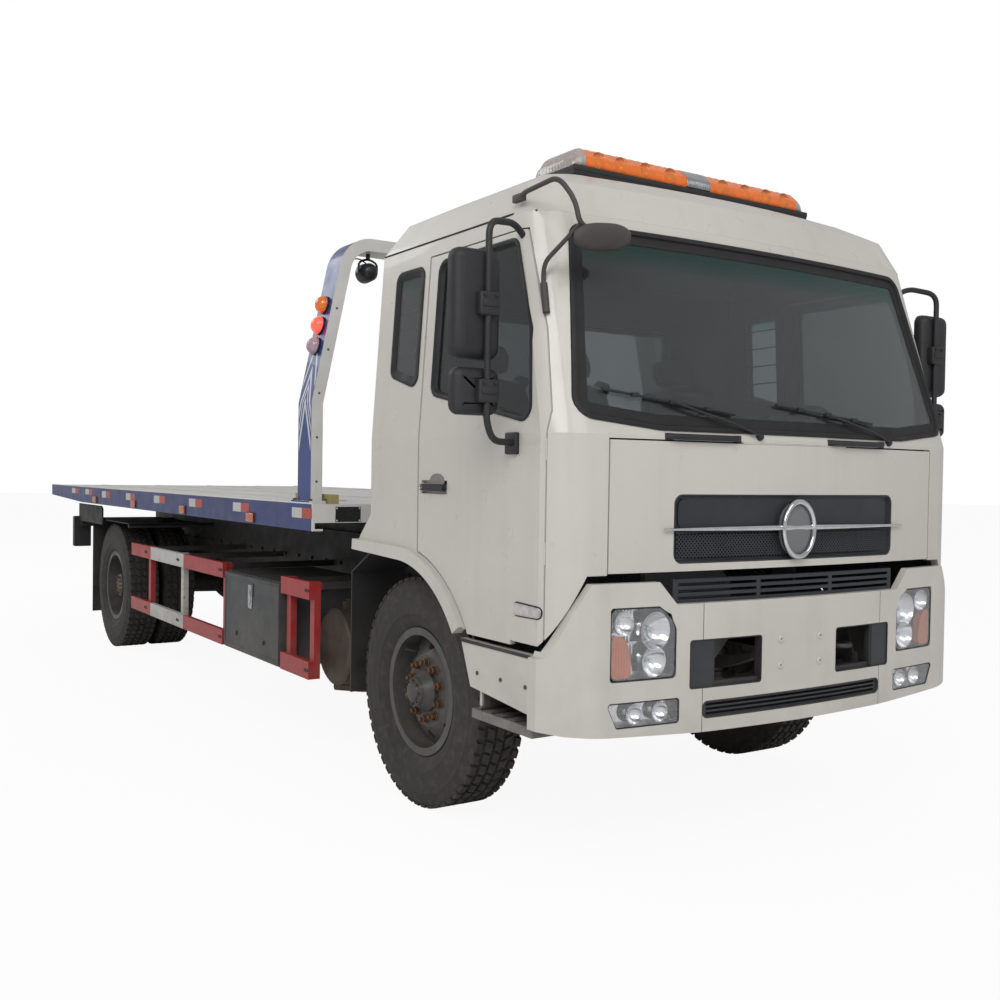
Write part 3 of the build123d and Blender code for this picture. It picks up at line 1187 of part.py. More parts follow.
with BuildPart() as grille_bar:
    with BuildPart(mode=Mode.PRIVATE) as bar_skin:
        cab_volume(-14, cab_floor_z)
        cab_volume(16 - seat_gap, cab_floor_z - 20, mode=Mode.SUBTRACT)
        with BuildPart(mode=Mode.PRIVATE) as bar_face:
            front_prism([(-632, 1275), (-560, 1287), (560, 1287), (632, 1275), (560, 1263), (-560, 1263)],
                        cab_front_y - 30, cab_front_y + 100)
            with BuildSketch(Plane.XZ.offset(-cab_front_y + 40)) as disc:
                with Locations((0, 1268)):
                    Ellipse(100, 122)
            extrude(disc.sketch, amount=-120)
        add(bar_face.part, mode=Mode.INTERSECT)
    add(bar_skin.part)
grille_bar.part.label = "grille_bar"

# Cab inside: seats, dashboard, steering wheel
with BuildPart() as seats:
    seat_z = cab_floor_z + cab_floor_thickness + seat_gap
    for seat_x, seat_half in ((520, 250), (-420, 480)):
        block((seat_x - seat_half + 60, seat_x + seat_half - 60), (behind_axle(-420), behind_axle(-40)),
              (seat_z, 1400))
        side_prism([(behind_axle(-480), 1400), (behind_axle(-470), 1520), (behind_axle(-60), 1490),
                    (behind_axle(60), 2080), (behind_axle(140), 2080), (behind_axle(60), 1400)],
                   seat_x - seat_half, seat_x + seat_half, radius=24)
seats.part.label = "seats"

wheel_centre = Vector(520, behind_axle(-640), 1690)
wheel_axis = Vector(0, -0.5, -1).normalized()
column_length = 215
with BuildPart() as dashboard:
    side_prism([(cab_front_y + 120.3, 1400), (cab_front_y + 120.3, 1640), (behind_axle(-900), 1690),
                (behind_axle(-800), 1670), (behind_axle(-780), 1420)], -1040, 1040, radius=20)
    bar_between(wheel_centre + wheel_axis * (column_length + seat_gap), wheel_centre + wheel_axis * 340, 30)
    cab_volume(cab_wall + 12, cab_floor_z, mode=Mode.INTERSECT)
dashboard.part.label = "dashboard"

with BuildPart() as steering_wheel:
    rim_plane = Plane(origin=wheel_centre, x_dir=(1, 0, 0), z_dir=wheel_axis.cross(Vector(1, 0, 0)))
    with BuildSketch(rim_plane) as rim_sketch:
        with Locations((215, 0)):
            Circle(15)
    revolve(rim_sketch.sketch, axis=Axis(wheel_centre, wheel_axis))
    for angle in (0, 120, 240):
        spoke = Plane(origin=wheel_centre, x_dir=(1, 0, 0), z_dir=-wheel_axis)
        tip = spoke.from_local_coords(Vector(210 * cos(radians(angle + 90)), 210 * sin(radians(angle + 90)), 0))
        bar_between(wheel_centre, tip, 12)
    bar_between(wheel_centre - wheel_axis * 20, wheel_centre + wheel_axis * 60, 55)
    bar_between(wheel_centre, wheel_centre + wheel_axis * column_length, 24)
steering_wheel.part.label = "steering_wheel"

# Wipers and grab handles on the cowl
with BuildPart() as cowl_fittings:
    for pivot_x, tip_x, tip_z in ((-211, -940, 1800), (599, -60, 1790)):
        bar_between((pivot_x, cab_front_y - 10, 1630), (tip_x, cab_front_y + 36, tip_z), 9)
        bar_between((pivot_x, cab_front_y - 16, 1630), (pivot_x, cab_front_y + 60, 1630), 14)
    for handle_from, handle_to in ((-672, -321), (199, 553)):
        bar_x(handle_from, handle_to, cab_front_y - 14, 1618, 9)
        for handle_x in (handle_from + 12, handle_to - 12):
            bar_between((handle_x, cab_front_y - 14, 1618), (handle_x, cab_front_y + 60, 1618), 8)
    cab_volume(-seat_gap, cab_floor_z, mode=Mode.SUBTRACT)
cowl_fittings.part.label = "cowl_fittings"

# Look-down mirror over the right front corner
with BuildPart() as front_mirror:
    bar_between((-1030, cab_front_y + 330, 2430), (-1040, cab_front_y + 90, 2350), 10)
    cab_volume(-seat_gap, cab_floor_z, mode=Mode.SUBTRACT)
    block((-1085, -800), (cab_front_y + 60, cab_front_y + 110), (2270, 2375))
front_mirror.part.label = "front_mirror"

# Light bar: base with feet, and the lens blocks
with BuildPart() as light_bar_base:
    bar_y = behind_axle(-465)
    block((-700, 700), (bar_y - 150, bar_y + 150), (2700, 2735))
    for foot_x in (-520, 520):
        block((foot_x - 40, foot_x + 40), (bar_y - 90, bar_y + 90), (roof_top_z + seat_gap, 2702))
light_bar_base.part.label = "light_bar_base"

with BuildPart() as light_bar_lens:
    side_prism([(bar_y - 150, 2735.3), (bar_y - 135, 2800), (bar_y - 100, 2828), (bar_y + 100, 2828),
                (bar_y + 135, 2800), (bar_y + 150, 2735.3)], -700, 700)
light_bar_lens.part.label = "light_bar_lens"

# Write one file for each piece
pieces = [frame_rails, engine_block, driveline, front_axle, rear_axle, leaf_springs, knuckle_right,
          knuckle_left, rim_front_right, rim_front_left, rims_rear_right, rims_rear_left, tyre_front_right,
          tyre_front_left, tyres_rear_right, tyres_rear_left, bumper, front_lamps, bumper_grilles,
          side_steps, mudguards, silencer, fuel_tank, toolbox, toolbox_door, side_guards, subframe,
          tail_lamps, lift_barrels, lift_rods, tilt_frame, slide_rod, slide_barrel, bed, gantry,
          gantry_lamps, winch_frame, winch_drum, deck_bars, cab_shell, cab_glass, cab_roof, door_right,
          door_left, door_glass_right, door_glass_left, mirrors_right, mirrors_left, front_panel,
          front_grille, grille_bar, seats, dashboard, steering_wheel, cowl_fittings, front_mirror,
          light_bar_base, light_bar_lens]
os.makedirs("parts", exist_ok=True)
for piece in pieces:
    export_step(piece.part, f"parts/{piece.part.label}.step")
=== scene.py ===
import bmesh
import bpy
from math import atan2, cos, hypot, pi, radians, sin, sqrt
from mathutils import Matrix, Vector


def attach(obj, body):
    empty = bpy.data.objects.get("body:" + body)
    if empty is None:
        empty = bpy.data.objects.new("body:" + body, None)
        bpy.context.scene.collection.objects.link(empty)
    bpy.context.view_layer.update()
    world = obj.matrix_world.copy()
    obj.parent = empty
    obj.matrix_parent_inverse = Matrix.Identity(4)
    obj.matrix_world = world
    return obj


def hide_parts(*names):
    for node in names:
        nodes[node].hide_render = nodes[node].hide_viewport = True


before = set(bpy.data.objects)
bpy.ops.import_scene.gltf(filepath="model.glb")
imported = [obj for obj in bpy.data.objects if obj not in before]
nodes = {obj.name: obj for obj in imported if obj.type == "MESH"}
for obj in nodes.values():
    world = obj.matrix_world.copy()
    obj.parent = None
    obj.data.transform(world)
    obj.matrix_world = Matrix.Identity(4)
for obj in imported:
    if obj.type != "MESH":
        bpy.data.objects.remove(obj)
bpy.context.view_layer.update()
scene = bpy.context.scene

# Places that the looks share with the frame, in metres
axle_y = -2.735
wheelbase = 5.0
tyre_radius = 0.505
groove_radius = 0.4915
wheel_z = tyre_radius
cab_front = axle_y - 1.190
cab_rear = axle_y + 0.270
nose = axle_y - 1.230
bed_front = axle_y + 0.720
bed_tail = 3.965
bed_half = 1.235
bed_top = 1.310
sides = ((-1, "right"), (1, "left"))


def behind(distance):
    """The Y of a place that lies this far behind the front axle."""
    return axle_y + distance


gantry_y = behind(0.905)
winch_y = behind(1.180)
winch_z = bed_top + 0.150
silencer_y = behind(0.930)
silencer_z = 0.567
mudflap_rear = behind(5.560)
lamp_rear = behind(6.030)
post_half = 1.200
post_knee_z = 1.815
post_lean = radians(11.92)


def post_x(z):
    """How far out the outer face of a gantry post is at a height."""
    return post_half - max(z - post_knee_z, 0) * sin(post_lean) / cos(post_lean)


# Camera and light
def set_camera():
    """The photograph's viewpoint and framing."""
    yaw, pitch, roll = radians(57.31218), radians(-1.27335), radians(0.8564)
    ahead = Vector((cos(yaw) * cos(pitch), sin(yaw) * cos(pitch), sin(pitch)))
    level = Vector((sin(yaw), -cos(yaw), 0))
    upright = level.cross(ahead)
    right = level * cos(roll) + upright * sin(roll)
    up = upright * cos(roll) - level * sin(roll)
    lens = bpy.data.cameras.new("view")
    lens.sensor_width = 36
    lens.lens = 38.97
    lens.shift_x = 0.02637
    lens.shift_y = -0.00186
    lens.clip_end = 200
    camera = bpy.data.objects.new("view", lens)
    turn = Matrix((right, up, -ahead)).transposed().to_4x4()
    turn.translation = Vector((-3.42145, -4.13692 + axle_y, 1.46863))
    camera.matrix_world = turn
    scene.collection.objects.link(camera)
    scene.camera = camera


def add_lamp(name, place, target, size, power):
    """A soft area lamp that faces a point."""
    lamp = bpy.data.lights.new(name, "AREA")
    lamp.shape = "DISK"
    lamp.size = size
    lamp.energy = power
    carrier = bpy.data.objects.new(name, lamp)
    carrier.location = place
    carrier.rotation_euler = (Vector(target) - Vector(place)).to_track_quat("-Z", "Y").to_euler()
    scene.collection.objects.link(carrier)


def set_light():
    """Pale world, three soft lamps and a pale floor."""
    world = bpy.data.worlds.new("studio")
    world.use_nodes = True
    tree = world.node_tree
    background = tree.nodes["Background"]
    path = tree.nodes.new("ShaderNodeLightPath")
    seen = tree.nodes.new("ShaderNodeMath")
    seen.operation = "MAXIMUM"
    tree.links.new(path.outputs["Is Camera Ray"], seen.inputs[0])
    tree.links.new(path.outputs["Is Transmission Ray"], seen.inputs[1])
    level = tree.nodes.new("ShaderNodeMapRange")
    level.inputs["To Min"].default_value = 0.50
    level.inputs["To Max"].default_value = 1.0
    tree.links.new(seen.outputs[0], level.inputs["Value"])
    tree.links.new(level.outputs[0], background.inputs["Strength"])
    background.inputs["Color"].default_value = (1, 1, 1, 1)
    scene.world = world
    add_lamp("key", (-8.0, -10.0, 8.0), (0, -2, 1.2), 6.0, 520)
    add_lamp("fill", (-1.0, -12.0, 9.0), (0, -1, 1.2), 7.0, 240)
    add_lamp("back", (-6.0, 11.0, 9.0), (0, 1, 1.2), 7.0, 340)
    scene.view_settings.view_transform = "Standard"
    mesh = bpy.data.meshes.new("floor")
    reach = 60
    mesh.from_pydata([(-reach, -reach, 0), (reach, -reach, 0), (reach, reach, 0), (-reach, reach, 0)], [],
                     [(0, 1, 2, 3)])
    floor = bpy.data.objects.new("floor", mesh)
    scene.collection.objects.link(floor)
    floor.location.z = -0.001
    pale = bpy.data.materials.new("floor_pale")
    pale.use_nodes = True
    tree = pale.node_tree
    tree.nodes.remove(tree.nodes["Principled BSDF"])
    diffuse = tree.nodes.new("ShaderNodeBsdfDiffuse")
    diffuse.inputs["Color"].default_value = (0.86, 0.86, 0.86, 1)
    glow = tree.nodes.new("ShaderNodeEmission")
    path = tree.nodes.new("ShaderNodeLightPath")
    share = tree.nodes.new("ShaderNodeMath")
    share.operation = "MULTIPLY"
    share.inputs[1].default_value = 0.93
    mix = tree.nodes.new("ShaderNodeMixShader")
    tree.links.new(path.outputs["Is Camera Ray"], share.inputs[0])
    tree.links.new(share.outputs[0], mix.inputs[0])
    tree.links.new(diffuse.outputs[0], mix.inputs[1])
    tree.links.new(glow.outputs[0], mix.inputs[2])
    tree.links.new(mix.outputs[0], tree.nodes["Material Output"].inputs["Surface"])
    mesh.materials.append(pale)


set_camera()
set_light()


# Finishes
class Finish:
    """A procedural material on Object coordinates, put together from a few steps."""

    def __init__(self, name, metallic=0.0, coat=0.0, transmission=0.0, ior=1.45, alpha=1.0, sheen=0.0):
        self.material = bpy.data.materials.new(name)
        self.material.use_nodes = True
        self.tree = self.material.node_tree
        self.shader = self.tree.nodes["Principled BSDF"]
        for socket, value in (("Metallic", metallic), ("Coat Weight", coat), ("IOR", ior), ("Alpha", alpha),
                              ("Transmission Weight", transmission), ("Sheen Weight", sheen)):
            self.shader.inputs[socket].default_value = value
        self.place = self.add("ShaderNodeTexCoord").outputs["Object"]
        parts = self.add("ShaderNodeSeparateXYZ")
        self.join(self.place, parts.inputs[0])
        self.x, self.y, self.z = parts.outputs
        self.height = None

    def add(self, kind, **settings):
        node = self.tree.nodes.new(kind)
        for key, value in settings.items():
            setattr(node, key, value)
        return node

    def join(self, value, socket):
        if isinstance(value, bpy.types.NodeSocket):
            self.tree.links.new(value, socket)
        elif isinstance(value, tuple) and len(value) == 3 and socket.type == "RGBA":
            socket.default_value = (*value, 1)
        else:
            socket.default_value = value

    def math(self, operation, first, second=0.0, clamp=False):
        node = self.add("ShaderNodeMath", operation=operation, use_clamp=clamp)
        self.join(first, node.inputs[0])
        self.join(second, node.inputs[1])
        return node.outputs[0]

    def times(self, first, second, clamp=False):
        return self.math("MULTIPLY", first, second, clamp)

    def plus(self, first, second):
        return self.math("ADD", first, second)

    def minus(self, first, second):
        return self.math("SUBTRACT", first, second)

    def more(self, first, second):
        return self.math("MAXIMUM", first, second)

    def above(self, value, limit):
        return self.math("GREATER_THAN", value, limit)

    def below(self, value, limit):
        return self.math("LESS_THAN", value, limit)

    def facing(self):
        """The X, Y and Z of the way that the surface faces."""
        geometry = self.add("ShaderNodeNewGeometry")
        parts = self.add("ShaderNodeSeparateXYZ")
        self.join(geometry.outputs["Normal"], parts.inputs[0])
        return parts.outputs

    def stain(self, mask, share, under, colour):
        """A colour with another one over it where the mask is, as far as the share says."""
        return self.blend(self.times(mask, share), under, colour)

    def span(self, value, low, high, to_low=0.0, to_high=1.0):
        node = self.add("ShaderNodeMapRange")
        for key, item in (("Value", value), ("From Min", low), ("From Max", high), ("To Min", to_low),
                          ("To Max", to_high)):
            self.join(item, node.inputs[key])
        return node.outputs[0]

    def noise(self, scale, detail=3.0, stretch=(1, 1, 1), roughness=0.55):
        mapping = self.add("ShaderNodeMapping")
        self.join(self.place, mapping.inputs["Vector"])
        mapping.inputs["Scale"].default_value = stretch
        node = self.add("ShaderNodeTexNoise")
        self.join(mapping.outputs[0], node.inputs["Vector"])
        self.join(float(scale), node.inputs["Scale"])
        self.join(float(detail), node.inputs["Detail"])
        self.join(roughness, node.inputs["Roughness"])
        return node.outputs[0]

    def cells(self, scale, feature="F1", stretch=(1, 1, 1)):
        mapping = self.add("ShaderNodeMapping")
        self.join(self.place, mapping.inputs["Vector"])
        mapping.inputs["Scale"].default_value = stretch
        node = self.add("ShaderNodeTexVoronoi", feature=feature)
        self.join(mapping.outputs[0], node.inputs["Vector"])
        self.join(float(scale), node.inputs["Scale"])
        return node.outputs["Distance"]

    def wave(self, value, pitch, sharp=1.0):
        """Rises and falls between 0 and 1 once in each pitch of the value."""
        turn = self.math("MULTIPLY", value, 2 * pi / pitch)
        level = self.math("MULTIPLY", self.math("SINE", turn), 0.5 * sharp)
        return self.math("ADD", level, 0.5, clamp=True)

    def between(self, value, low, high, soft=0.0008):
        """1 where the value lies between two limits."""
        rise = self.span(value, low - soft, low + soft)
        fall = self.span(value, high - soft, high + soft, 1.0, 0.0)
        return self.math("MULTIPLY", rise, fall)

    def size(self, value):
        return self.math("ABSOLUTE", value)

    def blend(self, share, first, second):
        node = self.add("ShaderNodeMix", data_type="RGBA")
        self.join(share, node.inputs[0])
        self.join(first, node.inputs[6])
        self.join(second, node.inputs[7])
        return node.outputs[2]

    def colour(self, value):
        self.join(value, self.shader.inputs["Base Color"])

    def rough(self, low, high, scale=9.0):
        self.join(self.span(self.noise(scale, 4), 0.3, 0.7, low, high), self.shader.inputs["Roughness"])

    def bump(self, height, distance=0.001, strength=1.0):
        node = self.add("ShaderNodeBump")
        self.join(height, node.inputs["Height"])
        node.inputs["Distance"].default_value = distance
        node.inputs["Strength"].default_value = strength
        if self.height is not None:
            self.join(self.height, node.inputs["Normal"])
        self.height = node.outputs[0]
        self.join(self.height, self.shader.inputs["Normal"])


def shade(colour, share):
    return tuple(channel * share for channel in colour)


road_dust = (0.20, 0.165, 0.125)


def dusted(finish, base, top_z, amount=0.6, scale=5.0):
    """Road dust that thickens towards the ground, in patches."""
    low = finish.span(finish.z, top_z, 0.2)
    patches = finish.span(finish.noise(scale, 6), 0.32, 0.72)
    share = finish.times(finish.times(low, patches), amount, clamp=True)
    return finish.blend(share, base, road_dust)


def painted(name, colour, rough=(0.28, 0.42), dust_top=1.1, dust=0.4, coat=0.25, peel=0.0002, worn=0.0):
    """Sprayed paint with faint unevenness, fine streaks and road dust."""
    finish = Finish(name, coat=coat)
    base = finish.blend(finish.span(finish.noise(1.7, 3), 0.3, 0.7), colour, shade(colour, 0.92))
    streaks = finish.span(finish.noise(14, 4, (1, 1, 0.08)), 0.5, 0.8)
    base = finish.stain(streaks, 0.10, base, shade(colour, 0.72))
    if worn:
        chips = finish.span(finish.noise(38, 6), 0.64, 0.68)
        base = finish.blend(finish.times(chips, worn), base, (0.12, 0.07, 0.045))
    finish.colour(dusted(finish, base, dust_top, dust))
    finish.rough(*rough)
    finish.bump(finish.noise(240, 2), peel)
    return finish


def moulded(name, colour, rough=(0.45, 0.62), grain=520, depth=0.0003, dust=0.35, dust_top=1.0):
    """Grained plastic or rubber."""
    finish = Finish(name)
    base = finish.blend(finish.span(finish.noise(6, 4), 0.35, 0.7), colour, shade(colour, 1.35))
    finish.colour(dusted(finish, base, dust_top, dust))
    finish.rough(*rough)
    finish.bump(finish.cells(grain), depth)
    return finish


def metal(name, colour, rough=(0.2, 0.4), stain=None, stain_share=0.5, brush=(1, 1, 1), dust=0.0):
    """Bare or plated metal with fine brushing and stains."""
    finish = Finish(name, metallic=1.0 if stain is None else 0.75)
    base = finish.blend(finish.span(finish.noise(11, 5), 0.35, 0.7), colour, shade(colour, 0.8))
    if stain is not None:
        spots = finish.span(finish.noise(16, 7), 0.62 - 0.3 * stain_share, 0.72)
        base = finish.stain(spots, 0.85, base, stain)
    if dust:
        base = dusted(finish, base, 1.0, dust)
    finish.colour(base)
    finish.rough(*rough)
    finish.bump(finish.noise(160, 3, brush), 0.0002)
    return finish


cab_white = (0.565, 0.545, 0.50)
trim_black = (0.018, 0.018, 0.020)


def cab_finish():
    """Off-white cab paint outside, dark trim on the faces that look into the cab."""
    finish = Finish("cab_paint", coat=0.35)
    base = finish.blend(finish.span(finish.noise(1.4, 3), 0.3, 0.7), cab_white, shade(cab_white, 0.93))
    streaks = finish.span(finish.noise(16, 5, (1, 1, 0.06)), 0.52, 0.85)
    base = finish.stain(streaks, 0.14, base, (0.33, 0.30, 0.25))
    specks = finish.span(finish.noise(90, 5), 0.66, 0.72)
    base = finish.stain(specks, 0.22, base, (0.36, 0.31, 0.25))
    base = dusted(finish, base, 1.15, 0.42)
    across = finish.size(finish.x)
    wide = finish.span(finish.z, 1.62, 2.45, 1.128, 1.072)
    roof_wide = finish.span(finish.z, 2.45, 2.58, 0.0, 0.075)
    wide = finish.minus(wide, roof_wide)
    inner = finish.below(across, wide)
    corner = finish.more(finish.minus(across, 0.985), 0.0)
    set_back = finish.times(finish.times(corner, corner), 4.0)
    bow = finish.times(finish.times(across, across), 0.0515)
    front = finish.plus(finish.plus(set_back, bow),
                        finish.span(finish.z, 1.62, 2.45, cab_front + 0.030, cab_front + 0.265))
    inner = finish.times(inner, finish.above(finish.y, front))
    inner = finish.times(inner, finish.below(finish.y, cab_rear - 0.028))
    inner = finish.times(inner, finish.below(finish.z, 2.60))
    finish.colour(finish.blend(inner, base, (0.045, 0.045, 0.048)))
    gloss = finish.span(finish.noise(8, 4), 0.3, 0.7, 0.26, 0.42)
    finish.join(finish.plus(gloss, finish.times(inner, 0.3)), finish.shader.inputs["Roughness"])
    finish.bump(finish.noise(260, 2), 0.00015)
    return finish


def roof_finish():
    """The cab's paint above, and pale dark lining on the faces that look down."""
    finish = Finish("roof_paint", coat=0.35)
    base = finish.blend(finish.span(finish.noise(1.4, 3), 0.3, 0.7), cab_white, shade(cab_white, 0.93))
    stains = finish.span(finish.noise(12, 6, (1, 1, 0.3)), 0.55, 0.8)
    base = finish.stain(stains, 0.22, base, (0.36, 0.33, 0.28))
    facing = finish.facing()
    under = finish.below(facing[2], -0.05)
    finish.colour(finish.blend(under, base, (0.16, 0.16, 0.155)))
    finish.rough(0.26, 0.44)
    finish.bump(finish.noise(260, 2), 0.00015)
    return finish


def bumper_finish():
    """The cab's paint, with the two fine seams of the bumper's middle part."""
    finish = Finish("bumper_paint", coat=0.3)
    base = finish.blend(finish.span(finish.noise(1.8, 3), 0.3, 0.7), cab_white, shade(cab_white, 0.92))
    seam = finish.between(finish.size(finish.x), 0.5135, 0.5160, 0.0004)
    stains = finish.span(finish.noise(7, 6, (1, 1, 0.3)), 0.5, 0.78)
    base = finish.stain(stains, 0.18, base, (0.33, 0.29, 0.23))
    base = dusted(finish, base, 0.95, 0.35)
    finish.colour(finish.blend(seam, base, (0.05, 0.045, 0.04)))
    finish.rough(0.30, 0.46)
    finish.bump(finish.minus(1.0, seam), 0.002)
    finish.bump(finish.noise(250, 2), 0.00015)
    return finish


def bed_finish():
    """Blue skirts, white deck with a raised tread pattern, white front face."""
    finish = Finish("bed_paint", coat=0.2)
    blue = (0.012, 0.024, 0.110)
    white = (0.60, 0.59, 0.56)
    base_blue = finish.blend(finish.span(finish.noise(2.2, 4), 0.3, 0.7), blue, shade(blue, 1.5))
    scrapes = finish.span(finish.noise(10, 6, (1, 0.2, 3)), 0.60, 0.74)
    base_blue = finish.stain(scrapes, 0.25, base_blue, (0.13, 0.14, 0.19))
    wear = finish.span(finish.noise(3.2, 7, (1, 0.4, 1)), 0.45, 0.75)
    base_white = finish.stain(wear, 0.35, white, (0.36, 0.34, 0.30))
    facing = finish.facing()
    up = finish.above(facing[2], 0.8)
    ahead = finish.below(finish.y, bed_front + 0.013)
    pale = finish.more(up, ahead)
    under = finish.times(finish.below(finish.size(finish.x), bed_half - 0.020),
                         finish.below(finish.z, bed_top - 0.004))
    under = finish.times(under, finish.above(finish.y, bed_front + 0.013))
    colour = finish.blend(pale, base_blue, base_white)
    finish.colour(finish.blend(under, colour, (0.030, 0.030, 0.032)))
    finish.rough(0.34, 0.52)
    diagonal = finish.plus(finish.x, finish.y)
    counter = finish.minus(finish.x, finish.y)
    ribs = finish.times(finish.wave(diagonal, 0.045), finish.wave(counter, 0.018))
    raised = finish.times(finish.span(ribs, 0.62, 0.78), up)
    finish.bump(raised, 0.0015)
    finish.bump(finish.noise(200, 2), 0.0002)
    return finish


def gantry_finish():
    """White posts with blue outer faces that carry pale arrow stripes."""
    finish = Finish("gantry_paint", coat=0.25)
    blue = (0.015, 0.036, 0.160)
    white = (0.60, 0.59, 0.57)
    facing = finish.facing()
    side = finish.above(finish.size(facing[0]), 0.45)
    outer = finish.times(side, finish.above(finish.times(finish.x, facing[0]), 0.0))
    from_middle = finish.size(finish.minus(finish.y, gantry_y))
    slope = finish.plus(finish.z, finish.times(from_middle, 3.1))
    stripes = finish.more(finish.between(slope, 1.79, 1.845), finish.between(slope, 1.95, 2.005))
    stripes = finish.more(stripes, finish.between(slope, 2.11, 2.155))
    stripes = finish.more(stripes, finish.between(slope, 1.885, 1.915))
    stripes = finish.times(stripes, finish.below(from_middle, 0.072))
    tone = finish.blend(finish.span(finish.noise(3, 4), 0.3, 0.7), blue, shade(blue, 1.4))
    skin = finish.blend(stripes, tone, (0.56, 0.57, 0.60))
    pale = finish.blend(finish.span(finish.noise(4, 5), 0.4, 0.75), white, shade(white, 0.86))
    finish.colour(finish.blend(outer, pale, skin))
    finish.rough(0.28, 0.44)
    finish.bump(finish.noise(230, 2), 0.0002)
    return finish


def guard_finish():
    """Side guards in red and white lengths."""
    finish = Finish("guard_paint", coat=0.15)
    red = (0.36, 0.018, 0.020)
    white = (0.50, 0.49, 0.47)
    pale = finish.between(finish.y, behind(2.900), behind(3.650), 0.001)
    base = finish.blend(pale, red, white)
    chips = finish.span(finish.noise(34, 7), 0.60, 0.66)
    base = finish.stain(chips, 0.55, base, (0.10, 0.045, 0.03))
    inboard = finish.below(finish.size(finish.x), 1.10)
    base = finish.blend(inboard, base, (0.03, 0.03, 0.03))
    finish.colour(dusted(finish, base, 1.1, 0.55, 9))
    finish.rough(0.38, 0.6)
    finish.bump(finish.noise(120, 4), 0.0003)
    return finish


def glass(name, colour, rough=0.02, band=None):
    """Tinted safety glass; band is the height where a green shade strip starts."""
    finish = Finish(name, transmission=0.92, ior=1.45)
    tone = colour
    if band:
        strip = finish.span(finish.z, band - 0.06, band + 0.02)
        tone = finish.blend(strip, colour, (0.05, 0.23, 0.20))
    haze = finish.span(finish.noise(3, 5, (1, 1, 0.3)), 0.45, 0.8)
    finish.colour(finish.stain(haze, 0.25, tone, shade(colour, 0.8)))
    finish.join(finish.span(finish.noise(5, 4), 0.4, 0.8, rough, rough + 0.05),
                finish.shader.inputs["Roughness"])
    return finish


def lens(name, colour, transmission=0.5, rough=0.1, glow=0.0, ribs=0.012):
    """Moulded lamp lens with fine ribs inside."""
    finish = Finish(name, transmission=transmission, ior=1.49, coat=0.5)
    finish.colour(finish.blend(finish.span(finish.noise(30, 4), 0.35, 0.7), colour, shade(colour, 0.75)))
    finish.join(finish.span(finish.noise(12, 3), 0.3, 0.7, rough, rough + 0.08),
                finish.shader.inputs["Roughness"])
    finish.bump(finish.wave(finish.plus(finish.x, finish.y), ribs), 0.0010)
    if glow:
        finish.join((*colour, 1), finish.shader.inputs["Emission Color"])
        finish.shader.inputs["Emission Strength"].default_value = glow
    return finish


def tyre_finish():
    """Black rubber with patchy greyer tone and grime."""
    finish = Finish("tyre_rubber")
    rubber = (0.022, 0.021, 0.020)
    base = finish.blend(finish.span(finish.noise(9, 6), 0.35, 0.7), rubber, (0.046, 0.042, 0.037))
    grime = finish.span(finish.noise(26, 7), 0.5, 0.72)
    base = finish.stain(grime, 0.5, base, (0.085, 0.070, 0.055))
    finish.colour(base)
    finish.rough(0.62, 0.82)
    finish.bump(finish.noise(300, 4), 0.0004)
    return finish


def wheel_finish():
    """Dark wheel paint with patches of rust bloom."""
    finish = Finish("wheel_paint", coat=0.1)
    base = finish.blend(finish.span(finish.noise(6, 5), 0.3, 0.7), (0.040, 0.042, 0.046),
                        (0.080, 0.078, 0.075))
    rust = finish.span(finish.noise(20, 8), 0.56, 0.72)
    base = finish.stain(rust, 0.55, base, (0.095, 0.052, 0.030))
    finish.colour(dusted(finish, base, 0.9, 0.35, 14))
    finish.rough(0.42, 0.62)
    finish.bump(finish.noise(110, 5), 0.0004)
    return finish


def toolbox_finish():
    finish = painted("toolbox_paint", (0.050, 0.053, 0.056), (0.42, 0.6), 0.95, 0.5, 0.05, 0.0003, 0.4)
    return finish


def exhaust_finish():
    return metal("exhaust_steel", (0.105, 0.095, 0.085), (0.5, 0.7), (0.11, 0.052, 0.028), 0.8, dust=0.5)


def cloth_finish():
    """Woven seat cloth with patches of darker tone."""
    finish = Finish("seat_cloth", sheen=0.3)
    weave = finish.times(finish.wave(finish.plus(finish.x, finish.z), 0.004),
                         finish.wave(finish.minus(finish.x, finish.y), 0.004))
    base = finish.blend(weave, (0.055, 0.057, 0.064), (0.115, 0.117, 0.125))
    finish.colour(finish.blend(finish.span(finish.noise(5, 4), 0.4, 0.7), base, (0.07, 0.07, 0.078)))
    finish.rough(0.8, 0.95)
    finish.bump(weave, 0.0006)
    return finish


def tread_plate_finish():
    """Grey step plate with raised diamonds, white panels beside it, and nearly black inboard faces that are
    painted shade of the gap behind the step well.
    """
    finish = Finish("step_paint", coat=0.1)
    plate = finish.blend(finish.span(finish.noise(12, 6), 0.35, 0.7), (0.20, 0.195, 0.185),
                         (0.11, 0.10, 0.09))
    white = finish.blend(finish.span(finish.noise(3, 4), 0.3, 0.7), cab_white, shade(cab_white, 0.86))
    outside = finish.above(finish.size(finish.x), 1.118)
    panel = finish.times(outside, finish.above(finish.z, 0.57))
    # Painted shade: the inboard faces go nearly black for the dark gap behind the step well.
    inboard = finish.below(finish.size(finish.x), 0.87)
    base = finish.blend(panel, plate, white)
    base = finish.blend(inboard, base, (0.03, 0.03, 0.03))
    finish.colour(dusted(finish, base, 0.95, 0.35, 10))
    finish.rough(0.4, 0.6)
    grid = finish.times(finish.wave(finish.plus(finish.x, finish.y), 0.024),
                        finish.wave(finish.minus(finish.x, finish.y), 0.024))
    raised = finish.times(finish.span(grid, 0.45, 0.6), finish.minus(1.0, panel))
    finish.bump(raised, 0.002)
    return finish


